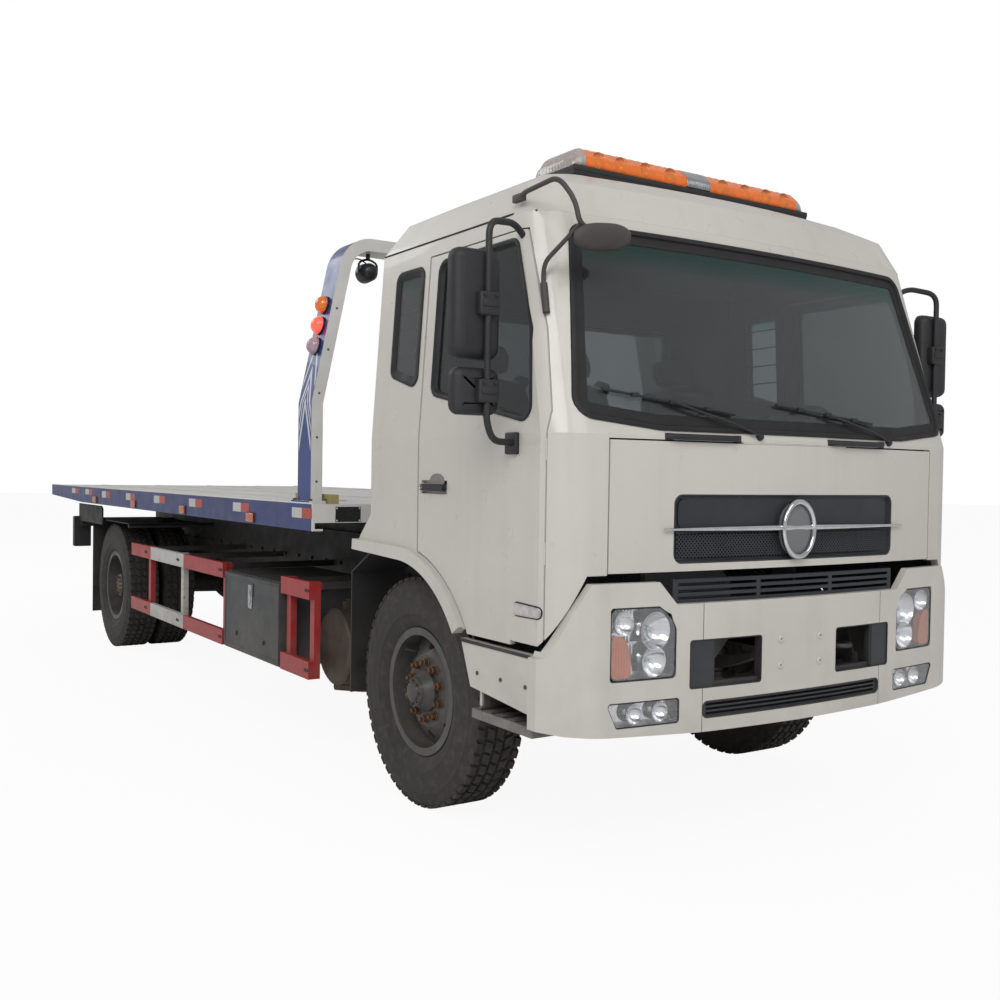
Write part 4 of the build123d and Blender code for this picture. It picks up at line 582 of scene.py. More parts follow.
cab_paint = cab_finish()
roof_paint = roof_finish()
bumper_paint = bumper_finish()
bed_paint = bed_finish()
gantry_paint = gantry_finish()
guard_paint = guard_finish()
step_paint = tread_plate_finish()
chassis_black = painted("chassis_black", (0.020, 0.020, 0.021), (0.48, 0.68), 1.2, 0.42, 0.0, 0.0003, 0.25)
black_plastic = moulded("black_plastic", trim_black)
smooth_black = moulded("smooth_black", (0.014, 0.015, 0.017), (0.22, 0.34), 800, 0.0001, 0.1)
seal_rubber = moulded("seal_rubber", (0.010, 0.010, 0.011), (0.5, 0.7), 900, 0.0002, 0.05)
grille_plastic = moulded("grille_plastic", (0.022, 0.025, 0.030), (0.38, 0.52), 700, 0.0002, 0.1)
dash_plastic = moulded("dash_plastic", (0.050, 0.050, 0.054), (0.5, 0.68), 420, 0.0004, 0.0)
chrome = metal("bright_chrome", (0.70, 0.71, 0.73), (0.06, 0.14))
reflector = metal("lamp_reflector", (0.82, 0.83, 0.85), (0.04, 0.12))
rod_chrome = metal("hard_chrome", (0.55, 0.56, 0.58), (0.14, 0.24), brush=(1, 0.1, 1))
spring_steel = metal("spring_steel", (0.09, 0.088, 0.085), (0.5, 0.66), (0.075, 0.042, 0.025), 0.6,
                     dust=0.4)
cast_steel = metal("cast_steel", (0.10, 0.10, 0.10), (0.5, 0.66), (0.085, 0.048, 0.028), 0.5, dust=0.35)
engine_grey = painted("engine_grey", (0.12, 0.125, 0.13), (0.45, 0.6), 1.0, 0.4, 0.0, 0.0004, 0.3)
tank_metal = metal("tank_aluminium", (0.42, 0.42, 0.42), (0.28, 0.44), (0.24, 0.22, 0.20), 0.4,
                   (1, 0.05, 1), 0.3)
nut_rust = metal("rusty_nut", (0.17, 0.105, 0.062), (0.5, 0.7), (0.20, 0.095, 0.045), 0.9)
rope_steel = metal("rope_steel", (0.30, 0.29, 0.28), (0.32, 0.48), (0.12, 0.09, 0.06), 0.3)
exhaust_steel = exhaust_finish()
tyre_rubber = tyre_finish()
wheel_paint = wheel_finish()
toolbox_paint = toolbox_finish()
seat_cloth = cloth_finish()
windscreen_glass = glass("windscreen_glass", (0.30, 0.33, 0.335), 0.01, 2.31)
door_pane = glass("door_pane", (0.13, 0.145, 0.15), 0.01)
mirror_glass = metal("mirror_glass", (0.75, 0.78, 0.80), (0.02, 0.05))
clear_lens = glass("clear_lens", (0.93, 0.94, 0.95), 0.01)
amber_lens = lens("amber_lens", (0.95, 0.22, 0.012), 0.35, 0.12, 0.10, 0.016)
turn_lens = lens("turn_lens", (0.80, 0.17, 0.01), 0.25, 0.15, 0.03, 0.010)
red_lens = lens("red_lens", (0.45, 0.012, 0.012), 0.2, 0.15, 0.02, 0.010)
lit_red_lens = lens("lit_red_lens", (1.0, 0.05, 0.03), 0.1, 0.2, 2.2, 0.010)
pink_lens = lens("faded_lens", (0.62, 0.42, 0.50), 0.3, 0.18, 0.0, 0.010)
marker_lens = lens("marker_lens", (0.62, 0.16, 0.05), 0.15, 0.25, 0.02, 0.008)
tape_red = painted("tape_red", (0.42, 0.035, 0.025), (0.3, 0.42), 0.4, 0.1, 0.3)
tape_white = painted("tape_white", (0.52, 0.52, 0.52), (0.3, 0.42), 0.4, 0.1, 0.3)
# Darker grey for the door-handle scoops: painted shade of the recess behind each handle.
scoop_painted_shade = painted("scoop_painted_shade", (0.20, 0.195, 0.18), (0.35, 0.5), 0.6, 0.1, 0.2)
pale_lens = lens("pale_lens", (0.72, 0.66, 0.66), 0.25, 0.15, 0.0, 0.009)
slat_grey = moulded("slat_grey", (0.11, 0.11, 0.115), (0.5, 0.7), 300, 0.0002, 0.0)
bed_white = painted("bed_white", (0.60, 0.59, 0.56), (0.34, 0.5), 0.8, 0.2, 0.1, 0.0002, 0.2)
disc_grey = painted("disc_grey", (0.17, 0.17, 0.175), (0.42, 0.6), 1.5, 0.05, 0.0)
satin_chrome = metal("satin_chrome", (0.55, 0.56, 0.58), (0.20, 0.30))
mirror_grey = moulded("mirror_grey", (0.052, 0.047, 0.043), (0.5, 0.66), 600, 0.0002, 0.1)
cap_lens = lens("cap_lens", (0.56, 0.50, 0.47), 0.35, 0.2, 0.0, 0.020)
olive_paint = painted("olive_paint", (0.34, 0.30, 0.12), (0.45, 0.6), 0.6, 0.2, 0.0, 0.0003, 0.5)


def dress(node, finish):
    """Give a CAD node one finish."""
    data = nodes[node].data
    data.materials.clear()
    data.materials.append(finish.material)


for node, finish in (
        ("cab_shell", cab_paint), ("cab_roof", roof_paint), ("door_right", cab_paint),
        ("door_left", cab_paint),
        ("front_panel", cab_paint), ("bumper", bumper_paint), ("bed", bed_paint), ("gantry", gantry_paint),
        ("frame_rails", chassis_black), ("subframe", chassis_black), ("tilt_frame", chassis_black),
        ("rear_axle", chassis_black), ("front_axle", chassis_black), ("winch_frame", chassis_black),
        ("lift_barrels", chassis_black), ("slide_barrel", chassis_black), ("slide_rod", rod_chrome),
        ("lift_rods", rod_chrome), ("leaf_springs", spring_steel), ("knuckle_right", cast_steel),
        ("knuckle_left", cast_steel), ("engine_block", engine_grey), ("driveline", engine_grey),
        ("rim_front_right", wheel_paint), ("rim_front_left", wheel_paint), ("rims_rear_right", wheel_paint),
        ("rims_rear_left", wheel_paint), ("tyre_front_right", tyre_rubber),
        ("tyre_front_left", tyre_rubber),
        ("tyres_rear_right", tyre_rubber), ("tyres_rear_left", tyre_rubber), ("front_lamps", clear_lens),
        ("bumper_grilles", grille_plastic), ("side_steps", step_paint), ("mudguards", black_plastic),
        ("silencer", exhaust_steel), ("fuel_tank", tank_metal), ("toolbox", toolbox_paint),
        ("toolbox_door", toolbox_paint), ("side_guards", guard_paint), ("tail_lamps", black_plastic),
        ("gantry_lamps", black_plastic), ("winch_drum", rope_steel), ("deck_bars", olive_paint),
        ("cab_glass", windscreen_glass), ("door_glass_right", door_pane), ("door_glass_left", door_pane),
        ("mirrors_right", black_plastic), ("mirrors_left", black_plastic), ("front_grille", grille_plastic),
        ("grille_bar", chrome), ("seats", seat_cloth), ("dashboard", dash_plastic),
        ("steering_wheel", smooth_black), ("cowl_fittings", black_plastic), ("front_mirror", black_plastic),
        ("light_bar_base", black_plastic), ("light_bar_lens", amber_lens)):
    dress(node, finish)


# Shapes
def frame_along(direction):
    """Two directions square to this one."""
    across = direction.orthogonal().normalized()
    return across, direction.cross(across).normalized()


def rounded_path(points, radius, steps=6):
    """The points of a line, with its corners rounded."""
    points = [Vector(point) for point in points]
    path = [points[0]]
    for before, corner, after in zip(points, points[1:], points[2:]):
        back, on = (before - corner), (after - corner)
        reach = min(radius, 0.48 * back.length, 0.48 * on.length)
        start, end = corner + back.normalized() * reach, corner + on.normalized() * reach
        for step in range(steps + 1):
            share = step / steps
            path.append(start * (1 - share) ** 2 + corner * 2 * share * (1 - share) + end * share ** 2)
    path.append(points[-1])
    return path


def rounded_loop(points, radius, offset=0.0, steps=6, runs=1):
    """A closed outline with round corners, grown by offset; each straight run is cut into runs."""
    area = sum(a[0] * b[1] - b[0] * a[1] for a, b in zip(points, points[1:] + points[:1]))
    if area < 0:
        points = points[::-1]
    loop = []
    count = len(points)
    for index in range(count):
        before, corner, after = (Vector(points[(index + shift) % count]) for shift in (-1, 0, 1))
        into, out = (corner - before).normalized(), (after - corner).normalized()
        turn = into.angle_signed(out) if into.length and out.length else 0.0
        half = abs(turn) / 2
        normal_in, normal_out = Vector((into.y, -into.x)), Vector((out.y, -out.x))
        limit = 0.45 * min((corner - before).length, (after - corner).length)
        bend = min(radius, limit * cos(half) / max(sin(half), 1e-6))
        middle = (normal_in + normal_out).normalized()
        centre = corner - middle * (bend / max(cos(half), 1e-6))
        for step in range(steps + 1):
            share = step / steps
            normal = (normal_in * (1 - share) + normal_out * share)
            if normal.length < 1e-9:
                normal = middle
            loop.append(centre + normal.normalized() * (bend + offset))
    if runs > 1:
        fuller = []
        for index, point in enumerate(loop):
            fuller.append(point)
            if index % (steps + 1) == steps:
                following = loop[(index + 1) % len(loop)]
                fuller += [point.lerp(following, part / runs) for part in range(1, runs)]
        loop = fuller
    return loop


class Shape:
    """Collects the faces of one piece."""

    def __init__(self):
        self.mesh = bmesh.new()

    def box(self, low, high, bevel=0.0, segments=2):
        made = bmesh.ops.create_cube(self.mesh, size=1.0)["verts"]
        size = [max(b - a, 1e-5) for a, b in zip(low, high)]
        for vert in made:
            vert.co = Vector((low[axis] + (vert.co[axis] + 0.5) * size[axis] for axis in range(3)))
        if bevel:
            edges = list({edge for vert in made for edge in vert.link_edges})
            bmesh.ops.bevel(self.mesh, geom=edges, offset=bevel, segments=segments, affect="EDGES",
                            profile=0.5)
        return self

    def flank(self, side, across, along, up, bevel=0.0, segments=2):
        """A box on one side of the truck, from its spans along X, Y and Z."""
        low, high = sorted(side * x for x in across)
        return self.box((low, along[0], up[0]), (high, along[1], up[1]), bevel, segments)

    def loops(self, rings, closed=True, cap_start=False, cap_end=False):
        """Faces between rings of points."""
        rows = [[self.mesh.verts.new(point) for point in ring] for ring in rings]
        count = len(rows[0])
        for near, far in zip(rows, rows[1:]):
            for index in range(count if closed else count - 1):
                following = (index + 1) % count
                self.mesh.faces.new((near[index], near[following], far[following], far[index]))
        if cap_start:
            self.mesh.faces.new(rows[0][::-1])
        if cap_end:
            self.mesh.faces.new(rows[-1])
        return self

    def rod(self, start, end, radius, end_radius=None, sides=16, bevel=0.0):
        start, end = Vector(start), Vector(end)
        end_radius = radius if end_radius is None else end_radius
        direction = (end - start).normalized()
        stations = [(0.0, radius, 0.0), (1.0, end_radius, 0.0)]
        if bevel:
            stations = [(0.0, radius - bevel, 0.0), (0.0, radius, bevel), (1.0, end_radius, -bevel),
                        (1.0, end_radius - bevel, 0.0)]
        across, up = frame_along(direction)
        rings = []
        for share, size, shift in stations:
            centre = start.lerp(end, share) + direction * shift
            rings.append([centre + (across * cos(turn) + up * sin(turn)) * size
                          for turn in (2 * pi * index / sides for index in range(sides))])
        return self.loops(rings, cap_start=True, cap_end=True)

    def tube(self, points, radius, bend=0.04, sides=12, steps=6, flat=1.0):
        """A round bar along a line with rounded corners."""
        path = rounded_path(points, bend, steps)
        direction = (path[1] - path[0]).normalized()
        across, up = frame_along(direction)
        rings = []
        for index, point in enumerate(path):
            ahead = path[min(index + 1, len(path) - 1)] - path[max(index - 1, 0)]
            ahead.normalize()
            turn = direction.rotation_difference(ahead)
            across, up, direction = turn @ across, turn @ up, ahead
            rings.append([point + (across * cos(angle) + up * sin(angle) * flat) * radius
                          for angle in (2 * pi * step / sides for step in range(sides))])
        return self.loops(rings, cap_start=True, cap_end=True)

    def lathe(self, centre, axis, profile, steps=48, closed=False):
        """Turn a profile of (distance along the axis, radius) about the axis."""
        centre, axis = Vector(centre), Vector(axis).normalized()
        across, up = frame_along(axis)
        rings = []
        for along, radius in profile:
            rings.append([centre + axis * along + (across * cos(turn) + up * sin(turn)) * max(radius, 1e-5)
                          for turn in (2 * pi * index / steps for index in range(steps))])
        if closed:
            rings.append(rings[0])
        return self.loops(rings)

    def plate(self, loop, depth, place):
        """A flat outline given a depth; place turns (a, b, depth) into a point."""
        return self.loops([[place(a, b, 0.0) for a, b in loop], [place(a, b, depth) for a, b in loop]],
                          cap_start=True, cap_end=True)

    def skin(self, loop, surface, depth=0.0, rings=5):
        """A panel that fills an outline on a curved surface(a, b, depth)."""
        centre = sum((Vector(point) for point in loop), Vector((0, 0))) / len(loop)
        layers = []
        for level in ((0.0, depth) if depth else (0.0,)):
            shrinking = []
            for ring in range(rings):
                share = 1 - ring / rings
                shrinking.append([surface(*(centre + (Vector(point) - centre) * share), level)
                                  for point in loop])
            layers.append(shrinking)
        if depth:
            stack = layers[0][::-1] + layers[1]
            self.loops(stack, cap_start=True, cap_end=True)
        else:
            self.loops(layers[0], cap_end=True)
        return self

    def build(self, name, finish, body, slot, smooth=40, weld=False):
        """Turn the faces into a piece that rides on a body."""
        if weld:
            bmesh.ops.remove_doubles(self.mesh, verts=self.mesh.verts, dist=1e-5)
        bmesh.ops.recalc_face_normals(self.mesh, faces=self.mesh.faces)
        data = bpy.data.meshes.new(name)
        self.mesh.to_mesh(data)
        self.mesh.free()
        return finished(name, data, finish, body, smooth)


def finished(name, data, finish, body, smooth=40):
    """An object for a finished mesh, with its finish and body."""
    data.materials.clear()
    data.materials.append(finish.material)
    if smooth:
        data.shade_smooth()
        data.set_sharp_from_angle(angle=radians(smooth))
    piece = bpy.data.objects.new(name, data)
    scene.collection.objects.link(piece)
    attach(piece, body)
    return piece


# Repeats made by geometry nodes
def repeat_tree(name, inputs, lay_out):
    """A node tree that copies one small shape to many places and gives it a material."""
    tree = bpy.data.node_groups.new(name, "GeometryNodeTree")
    for label, kind in inputs + (("Shape", "NodeSocketObject"), ("Finish", "NodeSocketMaterial")):
        tree.interface.new_socket(label, in_out="INPUT", socket_type=kind)
    tree.interface.new_socket("Geometry", in_out="OUTPUT", socket_type="NodeSocketGeometry")
    given = tree.nodes.new("NodeGroupInput")
    copied = tree.nodes.new("GeometryNodeObjectInfo")
    tree.links.new(given.outputs["Shape"], copied.inputs["Object"])
    copies = tree.nodes.new("GeometryNodeInstanceOnPoints")
    tree.links.new(copied.outputs["Geometry"], copies.inputs["Instance"])
    placed = lay_out(tree, given, copies)
    real = tree.nodes.new("GeometryNodeRealizeInstances")
    tree.links.new(placed, real.inputs[0])
    coated = tree.nodes.new("GeometryNodeSetMaterial")
    tree.links.new(real.outputs[0], coated.inputs["Geometry"])
    tree.links.new(given.outputs["Finish"], coated.inputs["Material"])
    out = tree.nodes.new("NodeGroupOutput")
    tree.links.new(coated.outputs[0], out.inputs[0])
    return tree


def ring_layout(tree, given, copies):
    """Places on a circle round the X axis; each copy points outwards."""
    circle = tree.nodes.new("GeometryNodeMeshCircle")
    tree.links.new(given.outputs["Count"], circle.inputs["Vertices"])
    tree.links.new(given.outputs["Radius"], circle.inputs["Radius"])
    tree.links.new(circle.outputs[0], copies.inputs["Points"])
    index = tree.nodes.new("GeometryNodeInputIndex")
    turn = tree.nodes.new("ShaderNodeMath")
    turn.operation = "DIVIDE"
    tree.links.new(index.outputs[0], turn.inputs[0])
    tree.links.new(given.outputs["Count"], turn.inputs[1])
    whole = tree.nodes.new("ShaderNodeMath")
    whole.operation = "MULTIPLY"
    whole.inputs[1].default_value = 2 * pi
    tree.links.new(turn.outputs[0], whole.inputs[0])
    angles = tree.nodes.new("ShaderNodeCombineXYZ")
    tree.links.new(whole.outputs[0], angles.inputs["Z"])
    tree.links.new(angles.outputs[0], copies.inputs["Rotation"])
    real = tree.nodes.new("GeometryNodeRealizeInstances")
    tree.links.new(copies.outputs[0], real.inputs[0])
    move = tree.nodes.new("GeometryNodeTransform")
    tree.links.new(real.outputs[0], move.inputs["Geometry"])
    tree.links.new(given.outputs["Turn"], move.inputs["Rotation"])
    tree.links.new(given.outputs["Centre"], move.inputs["Translation"])
    return move.outputs[0]


def row_layout(tree, given, copies):
    """Places on a straight row, in rows side by side."""
    first = tree.nodes.new("GeometryNodeMeshLine")
    tree.links.new(given.outputs["Count"], first.inputs["Count"])
    tree.links.new(given.outputs["Start"], first.inputs["Start Location"])
    tree.links.new(given.outputs["Step"], first.inputs["Offset"])
    tree.links.new(first.outputs[0], copies.inputs["Points"])
    return copies.outputs[0]


ring_tree = repeat_tree("copies_round_a_hub", (("Count", "NodeSocketInt"), ("Radius", "NodeSocketFloat"),
                                               ("Turn", "NodeSocketVector"),
                                               ("Centre", "NodeSocketVector")),
                        ring_layout)
row_tree = repeat_tree("copies_in_a_row", (("Count", "NodeSocketInt"), ("Start", "NodeSocketVector"),
                                           ("Step", "NodeSocketVector")), row_layout)


def copies(tree, shape, finish, settings):
    """The mesh of many copies of a small shape, as one list of lists."""
    made = []
    template_mesh = bpy.data.meshes.new("template")
    bmesh.ops.recalc_face_normals(shape.mesh, faces=shape.mesh.faces)
    shape.mesh.to_mesh(template_mesh)
    shape.mesh.free()
    template = bpy.data.objects.new("template", template_mesh)
    scene.collection.objects.link(template)
    for values in settings:
        holder = bpy.data.objects.new("holder", bpy.data.meshes.new("holder"))
        scene.collection.objects.link(holder)
        modifier = holder.modifiers.new("copies", "NODES")
        modifier.node_group = tree
        given = dict(values, Shape=template, Finish=finish.material)
        for item in tree.interface.items_tree:
            if item.item_type == "SOCKET" and item.in_out == "INPUT":
                modifier[item.identifier] = given[item.name]
        graph = bpy.context.evaluated_depsgraph_get()
        made.append(bpy.data.meshes.new_from_object(holder.evaluated_get(graph), depsgraph=graph))
        holder.modifiers.clear()
        bpy.data.objects.remove(holder)
    bpy.data.objects.remove(template)
    whole = bmesh.new()
    for mesh in made:
        whole.from_mesh(mesh)
        bpy.data.meshes.remove(mesh)
    return whole


def copied_piece(name, tree, shape, finish, settings, body, smooth=40):
    """A piece of many copies."""
    whole = copies(tree, shape, finish, settings)
    data = bpy.data.meshes.new(name)
    whole.to_mesh(data)
    whole.free()
    return finished(name, data, finish, body, smooth)


# The cab's surface
def circle_through(a, b, c):
    """Centre and radius of the circle through three points."""
    (ax, ay), (bx, by), (cx, cy) = a, b, c
    scale = 2 * (ax * (by - cy) + bx * (cy - ay) + cx * (ay - by))
    x = ((ax ** 2 + ay ** 2) * (by - cy) + (bx ** 2 + by ** 2) * (cy - ay)
         + (cx ** 2 + cy ** 2) * (ay - by)) / scale
    y = ((ax ** 2 + ay ** 2) * (cx - bx) + (bx ** 2 + by ** 2) * (ax - cx)
         + (cx ** 2 + cy ** 2) * (bx - ax)) / scale
    return (x, y), hypot(ax - x, ay - y)


def arc_samples(a, b, c, count):
    """Points along the arc from a through b to c."""
    (x, y), radius = circle_through(a, b, c)
    first, last = atan2(a[1] - y, a[0] - x), atan2(c[1] - y, c[0] - x)
    if last - first > pi:
        last -= 2 * pi
    if first - last > pi:
        last += 2 * pi
    return [(x + radius * cos(first + (last - first) * step / count),
             y + radius * sin(first + (last - first) * step / count)) for step in range(count + 1)]


def half_plan(half_width, front_y, bow, edge_x, side_start, rear_y):
    """One half of a plan outline, from the middle of the front to the rear corner."""
    edge, side = (edge_x, front_y + bow), (half_width, front_y + side_start)
    middle = ((edge[0] + side[0]) / 2 + 0.16 * (side[0] - edge[0]),
              (edge[1] + side[1]) / 2 - 0.16 * (side[1] - edge[1]))
    front = arc_samples((-edge_x, edge[1]), (0, front_y), edge, 48)[24:]
    corner = arc_samples(edge, middle, side, 16)[1:]
    return front + corner + [(half_width, side[1] + (rear_y - side[1]) * step / 12)
                             for step in range(1, 13)]


lower_plan = half_plan(1.150, cab_front, 0.050, 0.985, 0.160, cab_rear)
upper_plan = half_plan(1.096, cab_front + 0.235, 0.050, 0.930, 0.145, cab_rear)
bumper_plan = half_plan(1.172, nose, 0.060, 0.930, 0.175, behind(-0.996))


def plan_at(z):
    share = min(max((z - 1.620) / 0.830, 0.0), 1.15)
    return [(a[0] + (b[0] - a[0]) * share, a[1] + (b[1] - a[1]) * share)
            for a, b in zip(lower_plan, upper_plan)]


def look_up(pairs, value):
    """Straight-line value between pairs that rise."""
    for (a, first), (b, second) in zip(pairs, pairs[1:]):
        if a <= value <= b:
            return first + (second - first) * (value - a) / max(b - a, 1e-9)
    return pairs[0][1] if value < pairs[0][0] else pairs[-1][1]


def cab_face_y(x, z):
    """The Y of the cab's front at a place seen from the front."""
    return look_up([(a, b) for a, b in plan_at(z)[:41]], abs(x))


def cab_side_x(y, z):
    """The distance of the cab's side from the middle at a place seen from the side."""
    return look_up([(b, a) for a, b in plan_at(z)[24:]], y)


def bumper_face_y(x):
    return look_up([(a, b) for a, b in bumper_plan[:41]], abs(x))


def on_front(x, z, proud):
    return Vector((x, cab_face_y(x, z) - proud, z))


def on_side(side):
    return lambda y, z, proud: Vector((side * (cab_side_x(y, z) + proud), y, z))


def on_rear(x, z, proud):
    return Vector((x, cab_rear + proud, z))


def on_bumper(x, z, proud):
    return Vector((x, bumper_face_y(x) - proud, z))


def frame_round(shape, outline, radius, section, surface, runs=10):
    """A trim strip round an opening; section lists (growth, height above the surface)."""
    rings = []
    for growth, proud in section:
        rings.append([surface(a, b, proud) for a, b in rounded_loop(outline, radius, growth, 6, runs)])
    return shape.loops(rings + [rings[0]])


def window_trim():
    """Rubber seals and black glass borders of the windows."""
    windscreen = [(-1.052, 1.690), (-0.945, 2.400), (0.945, 2.400), (1.052, 1.690), (0.700, 1.652),
                  (-0.700, 1.652)]
    rear = oblong((-0.620, 1.780), (0.620, 2.240))
    shape = Shape()
    frame_round(shape, windscreen, 0.060,
                ((0.014, -0.001), (0.012, 0.006), (0.004, 0.0085), (-0.006, 0.006),
                                           (-0.010, -0.003), (-0.046, -0.0032), (-0.046, -0.0046)),
                on_front, 16)
    frame_round(shape, rear, 0.050, ((0.014, -0.001), (0.012, 0.006), (0.0, 0.008), (-0.010, 0.004),
                                     (-0.028, -0.0034), (-0.028, -0.0046)), on_rear)
    for side, word in sides:
        quarter = [(behind(-0.112), 1.835), (behind(-0.112), 2.345), (behind(0.120), 2.345),
                   (behind(0.120), 1.900)]
        frame_round(shape, quarter, 0.040, ((0.010, -0.001), (0.009, 0.004), (0.0, 0.006), (-0.010, 0.003),
                                            (-0.030, -0.0034), (-0.030, -0.0046)), on_side(side))
    shape.build("window_seals", seal_rubber, "cab", "black_plastic")
    for side, word in sides:
        pane = [(behind(-0.962), 1.664), (behind(-0.925), 2.000), (behind(-0.800), 2.345),
                (behind(-0.248), 2.345), (behind(-0.248), 1.802)]
        shape = Shape()
        frame_round(shape, pane, 0.045, ((0.012, -0.001), (0.011, 0.004), (0.003, 0.006), (-0.006, 0.002),
                                         (-0.012, -0.012), (-0.016, -0.0144)), on_side(side))
        shape.build("door_window_seal_" + word, seal_rubber, "door_" + word, "black_plastic")


def tyre_template(x_low, x_high, skew, length, top, base, taper=0.003):
    """One tread block; its local X points outwards and its local Z lies across the tyre."""
    shape = Shape()
    low = [(-length / 2, x_low), (length / 2, x_low), (length / 2 + skew, x_high),
           (-length / 2 + skew, x_high)]
    centre = (skew / 2, (x_low + x_high) / 2)
    high = [(a - (taper if a > centre[0] else -taper), b - (taper if b > centre[1] else -taper))
            for a, b in low]
    shape.loops([[(base - top, a, b) for a, b in low], [(0.0, a, b) for a, b in high]],
                cap_start=True, cap_end=True)
    return shape


def tyre_piece(name, node, places, body):
    """Tyre carcass with ribs on its sidewalls and five rows of tread blocks."""
    half = [(0.088, 0.262), (0.0878, 0.278), (0.098, 0.287), (0.110, 0.300), (0.1185, 0.322),
            (0.1235, 0.340),
            (0.1252, 0.341), (0.1262, 0.346), (0.1256, 0.351), (0.1268, 0.372), (0.1272, 0.392),
            (0.1262, 0.420),
            (0.1240, 0.436), (0.1250, 0.438), (0.1244, 0.444), (0.1228, 0.446), (0.1190, 0.466),
            (0.1140, 0.484), (0.1085, 0.4925), (0.080, 0.4935)]
    mirrored = [(along, radius) for along, radius in half[::-1]]
    profile = [(-along, radius) for along, radius in half] + mirrored
    whole = Shape()
    for x, y in places:
        whole.lathe((x, y, wheel_z), (1, 0, 0), profile, 96, closed=True)
    blocks = 54
    for x_low, x_high, skew, length in ((0.0795, 0.1125, 0.006, 0.044), (-0.1125, -0.0795, 0.006, 0.044),
                                        (0.0285, 0.0665, -0.014, 0.050), (-0.0665, -0.0285, 0.014, 0.050),
                                        (-0.0185, 0.0185, 0.016, 0.050)):
        settings = [{"Count": blocks, "Radius": tyre_radius, "Turn": (0, pi / 2, 0),
                     "Centre": (x, y, wheel_z)}
                    for x, y in places]
        made = copies(ring_tree, tyre_template(x_low, x_high, skew, length, tyre_radius, groove_radius),
                      tyre_rubber, settings)
        lump = bpy.data.meshes.new("lump")
        made.to_mesh(lump)
        made.free()
        whole.mesh.from_mesh(lump)
        bpy.data.meshes.remove(lump)
    piece = whole.build(name, tyre_rubber, body, "tyre", 50)
    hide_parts(node)


def nut_shape(radius=0.017, height=0.026):
    """A wheel nut on its stud; its local Z points out of the wheel."""
    shape = Shape()
    shape.rod((0, 0, -0.002), (0, 0, 0.006), radius * 1.25, sides=16, bevel=0.002)
    shape.rod((0, 0, 0.004), (0, 0, height), radius, sides=6, bevel=0.003)
    shape.rod((0, 0, height - 0.002), (0, 0, height + 0.014), radius * 0.58, sides=12, bevel=0.002)
    return shape


def wheel_details():
    """Tyres, wheel nuts, hub caps and valves."""
    for side, word in sides:
        x = side * 0.935
        tyre_piece("front_tyre_" + word, "tyre_front_" + word, ((x, axle_y),), "wheel_front_" + word)
        face = x + side * 0.062
        turn = (0, side * pi / 2, 0)
        copied_piece("front_nuts_" + word, ring_tree, nut_shape(), nut_rust,
                     [{"Count": 10, "Radius": 0.126, "Turn": turn, "Centre": (face, axle_y, wheel_z)}],
                     "wheel_front_" + word)
        shape = Shape()
        cap = x + side * 0.118
        shape.lathe((cap, axle_y, wheel_z), (side, 0, 0), ((-0.010, 0.0), (-0.010, 0.060), (0.002, 0.064),
                                                            (0.010, 0.060), (0.016, 0.046), (0.024, 0.042),
                                                            (0.028, 0.030), (0.030, 0.0)), 40)
        shape.tube([(x + side * 0.040, axle_y + 0.150, wheel_z + 0.150),
                    (x + side * 0.085, axle_y + 0.162, wheel_z + 0.162)], 0.005)
        shape.build("front_hub_cap_" + word, wheel_paint, "wheel_front_" + word, "wheel_steel")
        copied_piece("front_cap_bolts_" + word, ring_tree, nut_shape(0.007, 0.008), nut_rust,
                     [{"Count": 8, "Radius": 0.053, "Turn": turn,
                       "Centre": (cap + side * 0.006, axle_y, wheel_z)}],
                     "wheel_front_" + word)
        rear_y = axle_y + wheelbase
        outer, inner = side * 0.972, side * 0.682
        tyre_piece("rear_tyres_" + word, "tyres_rear_" + word, ((outer, rear_y), (inner, rear_y)),
                   "wheels_rear_" + word)
        copied_piece("rear_nuts_" + word, ring_tree, nut_shape(), nut_rust,
                     [{"Count": 10, "Radius": 0.126, "Turn": turn,
                       "Centre": (side * 0.860, rear_y, wheel_z)}],
                     "wheels_rear_" + word)
        shape = Shape()
        shape.lathe((side * 1.032, rear_y, wheel_z), (side, 0, 0),
                    ((-0.010, 0.0), (-0.010, 0.086), (0.006, 0.090), (0.012, 0.084), (0.014, 0.040),
                     (0.020, 0.0)), 40)
        shape.build("rear_hub_cap_" + word, wheel_paint, "wheels_rear_" + word, "wheel_steel")
        copied_piece("rear_cap_bolts_" + word, ring_tree, nut_shape(0.009, 0.009), nut_rust,
                     [{"Count": 12, "Radius": 0.068, "Turn": turn,
                       "Centre": (side * 1.043, rear_y, wheel_z)}],
                     "wheels_rear_" + word)


def panel(shape, outline, radius, surface, outer, inner, growth=0.0, rings=3, runs=4):
    """A closed panel inside an outline, between two heights above a curved surface."""
    loop = rounded_loop(outline, radius, growth, 6, runs)
    centre = sum(loop, Vector((0, 0))) / len(loop)
    shares = [step / rings for step in range(1, rings + 1)]
    stack = [[surface(*centre.lerp(point, share), inner) for point in loop] for share in shares]
    stack += [[surface(*centre.lerp(point, share), outer) for point in loop] for share in shares[::-1]]
    return shape.loops(stack, cap_start=True, cap_end=True)


def oblong(low, high):
    """The corners of an upright rectangle from its lower and upper corner."""
    return [(low[0], low[1]), (low[0], high[1]), (high[0], high[1]), (high[0], low[1])]


def at_side(outline, side):
    return [(side * a, b) for a, b in outline]


